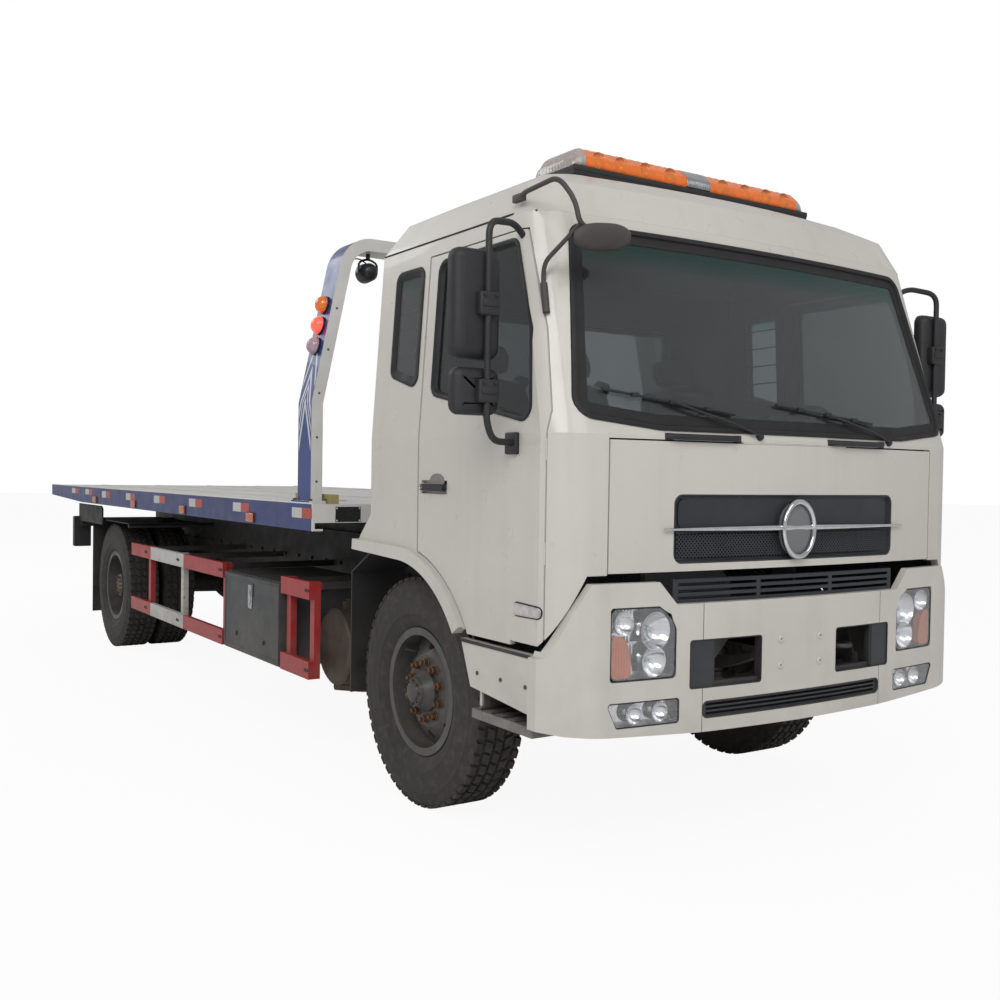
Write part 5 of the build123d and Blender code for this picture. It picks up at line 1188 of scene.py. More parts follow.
def lattice(shape, low, high, pitch, width, surface, outer, inner):
    """Crossed diagonal bars that fill a rectangle on a curved surface."""
    (left, bottom), (right, top) = low, high
    tall = top - bottom
    for lean in (-1, 1):
        for index in range(int((right - left + tall) / pitch) + 1):
            start = left - (tall if lean > 0 else 0) + index * pitch
            ends = []
            for share in (0.0, 1.0):
                x = start + lean * tall * share
                clipped = min(max(x, left), right)
                ends.append((clipped, bottom + tall * share + (clipped - x) * lean))
            (ax, az), (bx, bz) = ends
            if hypot(bx - ax, bz - az) < 0.01:
                continue
            flank = width * 0.7071
            rings = [[surface(x - flank * lean, z + flank, level) for x, z, level in
                      ((x, z, inner), (x, z, outer))] +
                     [surface(x + flank * lean, z - flank, level) for x, z, level in
                      ((x, z, outer), (x, z, inner))] for x, z in ends]
            shape.loops(rings, cap_start=True, cap_end=True)
    return shape


def grille_details():
    """Bright bar with a plain ring and disc, the recess's rim and the mesh in its lower half."""
    shape = Shape()
    rings = []
    for step in range(41):
        x = -0.690 + 1.380 * step / 40
        thick = 0.0035 + 0.0085 * (1 - abs(x) / 0.690) ** 0.6
        rings.append([on_front(x, 1.275 + sin(turn) * thick, 0.013 + cos(turn) * (0.0035 + 0.4 * thick))
                      for turn in (2 * pi * index / 14 for index in range(14))])
    shape.loops(rings, cap_start=True, cap_end=True)
    rings = []
    for step in range(72):
        turn = 2 * pi * step / 72
        ring = []
        for index in range(12):
            angle = 2 * pi * index / 12
            grow = 1 + 0.105 * cos(angle)
            ring.append(on_front(0.088 * grow * cos(turn), 1.268 + 0.109 * grow * sin(turn),
                                 0.020 + 0.011 * sin(angle)))
        rings.append(ring)
    shape.loops(rings + [rings[0]])
    bar = shape.build("grille_bar_and_ring", chrome, "front_panel", "chrome", 40, weld=True)
    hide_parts("grille_bar")
    shape = Shape()
    rings = []
    for share, proud in ((1.0, -0.012), (1.0, 0.010), (0.93, 0.014), (0.75, 0.017), (0.5, 0.019),
                         (0.25, 0.020)):
        rings.append([on_front(0.084 * share * cos(turn), 1.268 + 0.105 * share * sin(turn), proud)
                      for turn in (2 * pi * step / 48 for step in range(48))])
    shape.loops(rings, cap_start=True, cap_end=True)
    shape.build("grille_disc", disc_grey, "front_panel", "chrome")
    recess = oblong((-0.634, 1.1465), (0.634, 1.4045))
    shape = Shape()
    frame_round(shape, recess, 0.038, ((0.0004, -0.0158), (0.0004, -0.0015), (-0.003, 0.0005),
                                       (-0.006, -0.0015),
                                       (-0.009, -0.0105), (-0.016, -0.0115), (-0.018, -0.0158)), on_front,
                24)
    lattice(shape, (-0.616, 1.166), (0.616, 1.256), 0.017, 0.0024, on_front, -0.0085, -0.0157)
    for low, high in ((1.256, 1.262), (1.160, 1.166)):
        panel(shape, oblong((-0.618, low), (0.618, high)), 0.001, on_front, -0.0075,
              -0.0157, 0, 1, 24)
    shape.build("grille_mesh", grille_plastic, "front_panel", "grille_dark", 30)
    shape = Shape()
    panel(shape, oblong((-0.606, 1.274), (0.606, 1.388)), 0.030, on_front,
          -0.0105,
          -0.0157, 0, 3, 24)
    shape.build("grille_upper_pad", grille_plastic, "front_panel", "grille_dark", 30)


def bowl(shape, centre, radius, depth, steps=32):
    """A reflector bowl that opens forwards, with a round rim and a bulb shield."""
    profile = [(0.004, radius * 1.05), (-0.002, radius * 1.04), (-0.002, radius)]
    profile += [(depth * (1 - share ** 2), radius * share) for share in (0.9, 0.75, 0.6, 0.45, 0.3, 0.14)]
    shape.lathe(centre, (0, 1, 0), profile, steps)
    tip = Vector(centre) + Vector((0, depth * 0.30, 0))
    shape.lathe(tip, (0, 1, 0), [(0.0, 0.0), (0.003, radius * 0.10), (0.010, radius * 0.16),
                                 (depth * 0.5, radius * 0.17), (depth * 0.68, radius * 0.10)], 16)


def front_lamp_details():
    """Headlamps and lower lamps: clear lens, bright bowls, amber part, black rims."""
    head = [(0.645, 0.734), (0.645, 0.915), (0.664, 0.966), (0.716, 0.992), (0.925, 0.992), (0.925, 0.734)]
    low_lamp = [(0.6265, 0.6510), (0.6265, 0.5645), (0.8985, 0.5645), (0.9400, 0.6510)]
    amber = [(0.836, 0.741), (0.836, 0.800), (0.848, 0.858), (0.874, 0.892), (0.918, 0.896), (0.918, 0.741)]
    corner = [(0.6385, 0.9985), (0.6385, 0.908), (0.6435, 0.915), (0.6625, 0.9675), (0.715, 0.9945),
              (0.722, 0.9985)]
    clear, bright, rims, orange, filler = Shape(), Shape(), Shape(), Shape(), Shape()
    for side in (-1, 1):
        panel(clear, at_side(head, side), 0.026, on_bumper, -0.0035, -0.0065, -0.001, 4, 8)
        panel(clear, at_side(low_lamp, side), 0.012, on_bumper, -0.0035, -0.0065, -0.001, 4, 8)
        frame_round(rims, at_side(head, side), 0.026,
                    ((0.0042, -0.070), (0.0042, -0.0012), (0.001, -0.0010),
                     (-0.0015, -0.0030), (-0.0015, -0.070)), on_bumper, 8)
        frame_round(rims, at_side(low_lamp, side), 0.012,
                    ((0.0034, -0.050), (0.0034, -0.0012), (0.001, -0.001),
                     (-0.0015, -0.0030), (-0.0015, -0.050)),
                    on_bumper, 8)
        panel(filler, at_side(corner, side), 0.002, on_bumper, 0.0, -0.012, 0, 2, 3)
        panel(bright, at_side(head, side), 0.026, on_bumper, -0.066, -0.070, 0.003, 5, 8)
        panel(bright, at_side(low_lamp, side), 0.012, on_bumper, -0.046, -0.050, 0.003, 5, 8)
        for x, z, radius, depth in ((0.722, 0.905, 0.068, 0.046), (0.860, 0.938, 0.044, 0.036),
                                    (0.728, 0.793, 0.055, 0.044), (0.699, 0.607, 0.036, 0.028),
                                    (0.812, 0.607, 0.036, 0.028)):
            bowl(bright, (side * x, bumper_face_y(x) + 0.018, z), radius, depth)
        for step in range(9):
            x = 0.798 + 0.0135 * step
            z_low, z_high = (0.742, 0.990)
            if x > 0.832:
                z_low = 0.900
            panel(bright, at_side(oblong((x, z_low), (x + 0.006, z_high)), side),
                  0.001, on_bumper, -0.050, -0.067, 0, 1, 1)
        for step in range(4):
            z = 0.868 - 0.004 * step
            panel(bright, at_side(oblong((0.655, z), (0.830, z + 0.002)), side),
                  0.0005, on_bumper, -0.030 - 0.006 * step, -0.067, 0, 1, 2)
        panel(orange, at_side(amber, side), 0.020, on_bumper, -0.0085, -0.040, 0, 3, 4)
    lens_piece = clear.build("front_lamp_lenses", clear_lens, "chassis", "lamp_clear", 30)
    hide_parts("front_lamps")
    bright.build("front_lamp_bowls", reflector, "chassis", "chrome", 35)
    rims.build("front_lamp_rims", smooth_black, "chassis", "black_plastic", 35)
    orange.build("front_turn_lenses", turn_lens, "chassis", "lamp_amber", 35)
    filler.build("bumper_lamp_corners", bumper_paint, "chassis", "cab_white", 35)


def bumper_details():
    """Rims of the bumper's openings, plate bosses and tow eye."""
    shape = Shape()
    for side in (-1, 1):
        box_hole = at_side(oblong((0.2155, 0.6805), (0.5775, 0.8635)), side)
        frame_round(shape, box_hole, 0.014, ((0.0004, -0.034), (0.0004, -0.0008), (-0.0022, 0.0004),
                                             (-0.0040, -0.0008), (-0.0040, -0.034)), on_bumper, 8)
        panel(shape, at_side(oblong((0.222, 0.684), (0.460, 0.702)), side), 0.003,
              on_bumper, -0.012, -0.034, 0, 2, 6)
        shape.flank(side, (0.452, 0.464), (bumper_face_y(0.46) + 0.006, bumper_face_y(0.46) + 0.034),
                    (0.684, 0.860), 0.002)
    intake = oblong((-0.5145, 0.5655), (0.5145, 0.6315))
    frame_round(shape, intake, 0.025, ((0.0004, -0.030), (0.0004, -0.0008), (-0.003, 0.0006),
                                       (-0.006, -0.0008),
                                       (-0.007, -0.016), (-0.007, -0.030)), on_bumper, 20)
    shape.build("bumper_opening_rims", black_plastic, "chassis", "black_plastic", 35)
    shape = Shape()
    for x in (-0.114, 0.114):
        for z in (0.738, 0.840):
            shape.lathe((x, bumper_face_y(x), z), (0, -1, 0),
                        ((-0.002, 0.0046), (-0.002, 0.0165), (0.0025, 0.0160),
                         (0.0055, 0.0120), (0.0062, 0.0080), (0.0050, 0.0050), (-0.002, 0.0046)), 28)
    shape.build("plate_bosses", bumper_paint, "chassis", "cab_white")
    shape = Shape()
    hook_y = bumper_face_y(0.3)
    shape.tube([(0.300, hook_y + 0.135, 0.775), (0.300, hook_y + 0.050, 0.775),
                (0.345, hook_y + 0.030, 0.775),
                (0.385, hook_y + 0.060, 0.775), (0.385, hook_y + 0.135, 0.775)], 0.011, 0.03)
    shape.build("tow_eye", cast_steel, "chassis", "hub_steel")


def corner_point(step, z, proud, side):
    """A place on the cab's front corner; step runs from 0 at the front to 16 at the side."""
    plan = plan_at(z)
    before, here, after = (Vector(plan[24 + step + shift]) for shift in (-1, 0, 1))
    along = (after - before).normalized()
    place = here + Vector((along.y, -along.x)) * proud
    return Vector((side * place.x, place.y, z))


def mirror_head(shape, glass_shape, side, low, high, corner, rear_y, front_y):
    """A rounded mirror head with its glass facing the rear."""
    outline = at_side(oblong(low, high), side)
    deep = rear_y - front_y
    rings = []
    for share, growth in ((0.03, -0.010), (0.0, -0.007), (0.0, -0.003), (0.05, 0.0), (0.35, 0.0),
                          (0.62, -0.003),
                          (0.82, -0.010), (0.95, -0.024), (1.0, -0.042)):
        rings.append([Vector((a, rear_y - deep * share, b))
                      for a, b in rounded_loop(outline, corner, growth, 6, 2)])
    shape.loops(rings, cap_start=True, cap_end=True)
    pane = [Vector((a, rear_y - deep * 0.02, b)) for a, b in rounded_loop(outline, corner, -0.0105, 6, 2)]
    back = [point + Vector((0, -0.0015, 0)) for point in pane]
    glass_shape.loops([pane, back], cap_start=True, cap_end=True)


def mirror_details():
    """Door mirrors on their tubes, and the look-down mirror over the right front corner."""
    for side, word in sides:
        shape, panes = Shape(), Shape()
        mirror_head(shape, panes, side, (1.228, 1.880), (1.428, 2.275), 0.042, behind(-0.835),
                    behind(-0.895))
        mirror_head(shape, panes, side, (1.230, 1.680), (1.425, 1.850), 0.036, behind(-0.845),
                    behind(-0.895))
        shape.tube([(side * 1.076, behind(-0.822), 2.340), (side * 1.150, behind(-0.850), 2.392),
                    (side * 1.300, behind(-0.907), 2.372), (side * 1.300, behind(-0.907), 1.655),
                    (side * 1.262, behind(-0.893), 1.588), (side * 1.120, behind(-0.865), 1.585)], 0.0125,
                   0.055, 14)
        for z in (2.075, 1.765):
            shape.flank(side, (1.258, 1.342), (behind(-0.926), behind(-0.886)), (z - 0.042, z + 0.042),
                        0.008, 3)
            shape.flank(side, (1.266, 1.334), (behind(-0.930), behind(-0.920)), (z - 0.012, z + 0.012),
                        0.003, 2)
            for bolt_x in (1.276, 1.324):
                shape.rod((side * bolt_x, behind(-0.925), z + 0.028),
                          (side * bolt_x, behind(-0.932), z + 0.028), 0.006, sides=8, bevel=0.001)
        shape.flank(side, (1.146, 1.168), (behind(-0.900), behind(-0.828)), (1.543, 1.624), 0.006, 3)
        shape.flank(side, (1.100, 1.152), (behind(-0.893), behind(-0.835)), (1.551, 1.616), 0.004, 2)
        shape.lathe((side * 1.074, behind(-0.826), 2.338), (side * 0.96, -0.25, 0.1),
                    ((-0.012, 0.0), (-0.012, 0.034), (0.004, 0.034), (0.016, 0.027), (0.022, 0.014),
                     (0.024, 0.0)), 28)
        made = shape.build("mirrors_" + word + "_housing", black_plastic, "door_" + word, "black_plastic")
        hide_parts("mirrors_" + word)
        panes.build("mirrors_" + word + "_glass", mirror_glass, "door_" + word, "chrome")
    shape = Shape()
    centre, half, fat = Vector((-0.944, cab_front + 0.084, 2.322)), 0.144, 0.050
    direction = Vector((1.0, 0.10, 0.13)).normalized()
    across = Vector((0, 1, 0.25)).normalized()
    up = direction.cross(across).normalized()
    across = up.cross(direction).normalized()
    rings = []
    for step in range(21):
        share = -1 + 2 * step / 20
        size = max(1 - abs(share) ** 2.8, 0.0004) ** 0.5
        rings.append([centre + direction * half * share
                      + (across * cos(turn) * 0.030 + up * sin(turn) * fat) * size
                      for turn in (2 * pi * index / 24 for index in range(24))])
    shape.loops(rings, cap_start=True, cap_end=True)
    joint = Vector((-1.052, cab_front + 0.080, 2.352))
    foot = corner_point(16, 2.500, 0.006, -1)
    shape.tube([foot, foot + Vector((-0.006, -0.050, 0.012)), (-1.098, cab_front + 0.150, 2.528),
                (-1.066, cab_front + 0.092, 2.440), joint, (-0.980, cab_front + 0.080, 2.336)], 0.0095,
               0.045, 12)
    shape.box(foot - Vector((0.010, 0.036, 0.014)), foot + Vector((0.012, 0.030, 0.016)), 0.004, 2)
    end = corner_point(11, 2.060, 0.010, -1)
    shape.tube([joint, corner_point(10, 2.240, 0.050, -1), corner_point(11, 2.190, 0.016, -1), end], 0.0085,
               0.04, 12)
    shape.tube([corner_point(11, 2.165, 0.012, -1), corner_point(11, 2.055, 0.012, -1)], 0.014, 0.01, 10)
    made = shape.build("look_down_mirror", mirror_grey, "cab", "black_plastic")
    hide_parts("front_mirror")


def bar_ring(x, wide, high):
    """The light bar's section at a place along it."""
    outline = [(-0.148 * wide, 0.0), (-0.141 * wide, 0.050 * high), (-0.098 * wide, 0.091 * high),
               (0.098 * wide, 0.091 * high), (0.141 * wide, 0.050 * high), (0.148 * wide, 0.0)]
    return [Vector((x, behind(-0.465) + a, 2.7356 + b)) for a, b in rounded_loop(outline, 0.030, 0.0, 5)]


def light_bar_details():
    """Amber lens halves, slotted bright middle, end caps and what shows inside."""
    amber, caps, middle, inside, base = Shape(), Shape(), Shape(), Shape(), Shape()
    for side in (-1, 1):
        rings = []
        for step in range(29):
            share = step / 28
            rings.append(bar_ring(side * (0.072 + 0.560 * share), 1 - 0.012 * (step % 2),
                                  1 - 0.018 * (step % 2)))
        amber.loops(rings, cap_start=True, cap_end=True)
        caps.loops([bar_ring(side * x, wide, high) for x, wide, high in
                    ((0.633, 1.0, 1.0), (0.650, 0.99, 0.94), (0.672, 0.95, 0.78), (0.690, 0.88, 0.52),
                     (0.699, 0.80, 0.30))], cap_start=True, cap_end=True)
        for x in (0.160, 0.300, 0.440, 0.560):
            inside.lathe((side * x, behind(-0.600), 2.776), (0, 1, 0),
                         ((0.0, 0.036), (0.012, 0.032), (0.030, 0.018), (0.036, 0.0)), 20)
    rings = []
    for step in range(45):
        x = -0.071 + 0.142 * step / 44
        deep = 1.0 if (step // 2) % 2 == 0 else 0.93
        rings.append(bar_ring(x, deep * 1.005, deep * 1.005))
    middle.loops(rings, cap_start=True, cap_end=True)
    for x in (-0.52, 0.52):
        for y in (-0.525, -0.405):
            base.rod((x - 0.028, behind(y), 2.7362), (x - 0.028, behind(y), 2.7362 - 0.004), 0.008,
                     sides=10)
        base.box((x - 0.055, behind(-0.570), 2.660), (x + 0.055, behind(-0.360), 2.668), 0.003)
    base.box((-0.703, behind(-0.617), 2.716), (0.703, behind(-0.611), 2.738), 0.002)
    base.box((-0.703, behind(-0.319), 2.716), (0.703, behind(-0.313), 2.738), 0.002)
    lens_piece = amber.build("light_bar_lenses", amber_lens, "cab", "lamp_amber", 60)
    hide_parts("light_bar_lens")
    caps.build("light_bar_caps", cap_lens, "cab", "lamp_clear", 45)
    middle.build("light_bar_middle", chrome, "cab", "chrome", 25)
    inside.build("light_bar_bowls", reflector, "cab", "chrome")
    base.build("light_bar_trim", black_plastic, "cab", "black_plastic")


def wiper_details():
    """Wipers resting on the windscreen's foot, and two grab handles below it."""
    shape = Shape()
    for pivot_x, near, far in ((-0.211, (-0.330, 1.712), (-0.935, 1.782)),
                               (0.599, (0.500, 1.706), (-0.090, 1.760))):
        middle = ((near[0] + far[0]) / 2, (near[1] + far[1]) / 2)
        shape.lathe(on_front(pivot_x, 1.630, -0.002), (0, -1, 0),
                    ((-0.002, 0.0), (-0.002, 0.017), (0.010, 0.016), (0.018, 0.011), (0.019, 0.0)), 20)
        shape.tube([on_front(pivot_x, 1.630, 0.014),
                    on_front(pivot_x * 0.7 + middle[0] * 0.3, 1.672, 0.022),
                    on_front(*middle, 0.020)], 0.0062, 0.05, 10, flat=0.6)
        for level, size in ((0.009, 0.0052), (0.003, 0.0030)):
            points = [on_front(near[0] + (far[0] - near[0]) * step / 8,
                               near[1] + (far[1] - near[1]) * step / 8, level)
                      for step in range(9)]
            shape.tube(points, size, 0.02, 8, 3)
        for share in (0.22, 0.5, 0.78):
            x, z = near[0] + (far[0] - near[0]) * share, near[1] + (far[1] - near[1]) * share
            shape.box(on_front(x, z, 0.019) - Vector((0.016, 0.004, 0.008)),
                      on_front(x, z, 0.010) + Vector((0.016, 0.003, 0.008)), 0.002)
    hinge_z, inset = 1.618, 0.016
    for start, end in ((-0.672, -0.321), (0.199, 0.553)):
        points = [on_front(start, hinge_z, -0.004), on_front(start + inset, hinge_z, 0.012)]
        points += [on_front(start + inset + (end - start - 2 * inset) * step / 6, hinge_z, 0.014)
                   for step in range(1, 6)]
        points += [on_front(end - inset, hinge_z, 0.012), on_front(end, hinge_z, -0.004)]
        shape.tube(points, 0.0115, 0.02, 14, 4)
        for x in (start + 0.008, end - 0.008):
            shape.box(on_front(x, hinge_z, 0.003) - Vector((0.020, 0, 0.013)),
                      on_front(x, hinge_z, -0.002) + Vector((0.020, 0.002, 0.013)), 0.003)
    made = shape.build("wipers_and_grab_handles", black_plastic, "cab", "black_plastic")
    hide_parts("cowl_fittings")


def ring_tube(shape, points, radius, sides=8):
    """A round cord along a closed line."""
    count = len(points)
    rings = []
    for index, point in enumerate(points):
        ahead = (points[(index + 1) % count] - points[index - 1]).normalized()
        across = ahead.cross(Vector((0, 0, 1)))
        if across.length < 0.2:
            across = ahead.cross(Vector((0, 1, 0)))
        across.normalize()
        up = across.cross(ahead)
        rings.append([point + (across * cos(turn) + up * sin(turn)) * radius
                      for turn in (2 * pi * step / sides for step in range(sides))])
    return shape.loops(rings + [rings[0]])


def cushion(name, centre, half, lean, channels=(), face=2, crown=0.42, cuts=18):
    """A stuffed pad: crowned faces, sides drawn in between the corners, sewn channels and piping."""
    turn = Matrix.Rotation(radians(lean), 4, "X")

    def swell(point):
        u, v, w = point
        k = crown
        place = [u * sqrt(1 - k * (v * v + w * w) / 2 + k * k * v * v * w * w / 3),
                 v * sqrt(1 - k * (u * u + w * w) / 2 + k * k * u * u * w * w / 3),
                 w * sqrt(1 - k * (u * u + v * v) / 2 + k * k * u * u * v * v / 3)]
        depth = sum(0.085 * 2.718 ** -(((u - channel) / 0.035) ** 2) for channel in channels)
        depth += 0.12 * 2.718 ** -((min(abs(abs(u) - 0.97), 1.0) / 0.03) ** 2)
        place[face] *= 1 - depth
        return Vector(centre) + turn @ Vector([a * b for a, b in zip(place, half)])

    shape = Shape()
    bmesh.ops.create_cube(shape.mesh, size=2.0)
    bmesh.ops.subdivide_edges(shape.mesh, edges=shape.mesh.edges[:], cuts=cuts, use_grid_fill=True)
    for vert in shape.mesh.verts:
        vert.co = swell(vert.co)
    for level in (-0.72, 0.72):
        corners = [(-1, -1), (1, -1), (1, 1), (-1, 1)]
        line = []
        for (a, b), (c, d) in zip(corners, corners[1:] + corners[:1]):
            for step in range(12):
                first, second = a + (c - a) * step / 12, b + (d - b) * step / 12
                spot = (first, second, level) if face == 2 else (first, level, second)
                line.append(swell(spot))
        ring_tube(shape, line, 0.0045)
    piece = shape.build(name, seat_cloth, "cab", "seat_fabric", 60)
    return piece


def seat_details():
    """Three places with cushions, backs and headrests on plain frames, and seat belts."""
    frame_shape, belts = Shape(), Shape()
    for word, x, wide in (("driver", 0.520, 0.238), ("middle", -0.178, 0.226), ("outer", -0.660, 0.226)):
        pads = [cushion("seat_" + word + "_cushion", (x, behind(-0.272), 1.466), (wide, 0.196, 0.058), -3,
                        (-0.48, 0.48)),
                cushion("seat_" + word + "_back", (x, behind(0.034), 1.712), (wide, 0.052, 0.205), -11.5,
                        (-0.52, 0.0, 0.52), 1),
                cushion("seat_" + word + "_headrest", (x, behind(0.090), 2.004), (0.130, 0.038, 0.066),
                        -11.5, (), 1, 0.5, 12)]
        if word == "driver":
            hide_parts("seats")
        frame_shape.box((x - wide + 0.040, behind(-0.420), 1.1506),
                        (x + wide - 0.040, behind(-0.070), 1.372), 0.012)
        frame_shape.box((x - wide + 0.012, behind(-0.460), 1.372),
                        (x + wide - 0.012, behind(-0.060), 1.408), 0.012)
        frame_shape.box((x - wide + 0.020, behind(0.075), 1.420), (x + wide - 0.020, behind(0.100), 1.860),
                        0.010)
        for rod_x in (x - 0.060, x + 0.060):
            frame_shape.rod((rod_x, behind(0.066), 1.900), (rod_x, behind(0.082), 1.985), 0.007)
        belts.tube([(x + wide - 0.030, behind(0.110), 1.930), (x + wide - 0.060, behind(-0.028), 1.900),
                    (x, behind(-0.062), 1.700), (x - wide + 0.040, behind(-0.110), 1.545)], 0.020, 0.05, 8,
                   4, 0.09)
        belts.box((x - wide - 0.004, behind(-0.140), 1.470), (x - wide + 0.022, behind(-0.100), 1.545),
                  0.004)
    frame_shape.build("seat_frames", dash_plastic, "cab", "dash_plastic")
    belts.build("seat_belts", seal_rubber, "cab", "black_plastic")


def cab_inside_details():
    """Instrument hood, vents, radio panel, glove box lid and pedals."""
    shape, dark = Shape(), Shape()
    shape.box((0.320, behind(-0.945), 1.672), (0.720, behind(-0.822), 1.730), 0.022, 4)
    dark.box((0.345, behind(-0.826), 1.682), (0.695, behind(-0.8185), 1.722), 0.003)
    for x in (-0.880, -0.420, 0.050, 0.900):
        dark.box((x - 0.075, behind(-0.805), 1.590), (x + 0.075, behind(-0.782), 1.650), 0.006)
        for step in range(4):
            z = 1.600 + 0.013 * step
            shape.box((x - 0.068, behind(-0.790), z), (x + 0.068, behind(-0.777), z + 0.005), 0.001, 1)
    dark.box((-0.110, behind(-0.800), 1.450), (0.190, behind(-0.7765), 1.575), 0.006)
    for step in range(3):
        for x in (-0.050, 0.040, 0.130):
            shape.rod((x, behind(-0.778), 1.475 + 0.036 * step), (x, behind(-0.764), 1.475 + 0.036 * step),
                      0.010, sides=14, bevel=0.002)
    shape.box((-0.860, behind(-0.792), 1.445), (-0.400, behind(-0.7735), 1.570), 0.010)
    dark.box((-0.680, behind(-0.776), 1.545), (-0.580, behind(-0.768), 1.560), 0.003)
    for step in range(30):
        x = -0.870 + 0.060 * step
        dark.box((x - 0.022, behind(-1.000), 1.6555), (x + 0.022, behind(-0.992), 1.6700), 0.001, 1)
    for x, z in ((0.400, 1.300), (0.530, 1.300), (0.650, 1.280)):
        shape.rod((x, behind(-0.960), z + 0.110), (x, behind(-0.880), z), 0.008)
        dark.box((x - 0.030, behind(-0.900), z - 0.045), (x + 0.030, behind(-0.884), z + 0.040), 0.005)
    shape.build("dash_fittings", dash_plastic, "cab", "dash_plastic")
    dark.build("dash_dark_parts", smooth_black, "cab", "black_plastic")


def door_details():
    """Door handles with their scoops, keyholes and side marker lamps."""
    for side, word in sides:
        surface = on_side(side)
        body = "door_" + word
        shape, scoop, lamp, rim, bright = Shape(), Shape(), Shape(), Shape(), Shape()
        bar = [(behind(-0.394), 1.395), (behind(-0.394), 1.426), (behind(-0.196), 1.424),
               (behind(-0.196), 1.399)]
        panel(shape, bar, 0.012, surface, 0.015, 0.002, 0, 3, 4)
        panel(shape, bar, 0.012, surface, 0.019, 0.012, -0.005, 3, 4)
        # Each scoop is a near-flat disc on the door skin; its darker grey is painted shade of the recess
        # behind the handle.
        rings = []
        for share, proud in ((1.0, 0.0002), (1.0, 0.0016), (0.94, 0.0026), (0.88, 0.0012), (0.5, 0.0008),
                             (0.15, 0.0006)):
            rings.append([surface(behind(-0.318) + 0.060 * share * cos(turn),
                                  1.434 + 0.036 * share * max(sin(turn), -0.25), proud)
                          for turn in (2 * pi * step / 36 for step in range(36))])
        scoop.loops(rings, cap_start=True, cap_end=True)
        bright.lathe(surface(behind(-0.214), 1.412, 0.017), (side, 0, 0),
                     ((0.0, 0.0), (0.0, 0.009), (0.003, 0.0085), (0.0035, 0.006), (0.002, 0.005),
                      (0.002, 0.0)), 20)
        marker = [(behind(-1.042), 0.957), (behind(-1.046), 0.996), (behind(-0.888), 1.002),
                  (behind(-0.884), 0.955)]
        panel(rim, marker, 0.016, surface, 0.0025, 0.0, 0.004, 2, 5)
        panel(lamp, marker, 0.014, surface, 0.0095, 0.002, -0.006, 3, 5)
        panel(lamp, marker, 0.014, surface, 0.0065, 0.002, -0.001, 3, 5)
        shape.build("door_handle_" + word, smooth_black, body, "black_plastic")
        scoop.build("door_scoop_" + word, scoop_painted_shade, body, "cab_white")
        bright.build("door_lock_" + word, chrome, body, "chrome")
        rim.build("side_marker_rim_" + word, black_plastic, body, "black_plastic")
        lamp.build("side_marker_" + word, pale_lens, body, "lamp_clear")


def cab_trim_details():
    """Drip rails, slats behind the quarter windows, sill strips and small bolts."""
    rails, slats, strips, bolts, flaps = (Shape() for count in range(5))
    for side in (-1, 1):
        surface = on_side(side)
        rails.tube([surface(behind(-0.86 + 0.102 * step), 2.4495, 0.0) for step in range(12)], 0.0042, 0.02,
                   8, 2)
        for step in range(4):
            z = 1.985 + 0.095 * step
            panel(slats, [(behind(-0.118), z), (behind(-0.118), z + 0.006), (behind(0.126), z + 0.002),
                          (behind(0.126), z - 0.004)], 0.001, surface, -0.016, -0.022, 0, 1, 2)
        strips.flank(side, (1.1475, 1.1515), (behind(-1.004), behind(-0.520)), (0.8065, 0.8195), 0.001, 1)
        for y in (-0.960, -0.800, -0.640):
            bolts.rod((side * 1.148, behind(y), 0.700), (side * 1.1525, behind(y), 0.700), 0.008, sides=12,
                      bevel=0.001)
        for step in range(5):
            y = -0.965 + 0.078 * step
            strips.flank(side, (0.880, 1.136), (behind(y), behind(y + 0.012)), (0.5555, 0.5625), 0.002, 1)
        flaps.flank(side, (0.758, 0.762), (-3.430, -3.200), (0.955, 1.140), 0.001, 1)
    flaps.build("arch_splash_flaps", seal_rubber, "cab", "black_plastic")
    rails.build("drip_rails", seal_rubber, "cab", "black_plastic")
    slats.build("quarter_window_slats", slat_grey, "cab", "dash_plastic")
    strips.build("sill_strips", black_plastic, "chassis", "black_plastic")
    bolts.build("sill_bolts", cast_steel, "chassis", "hub_steel")


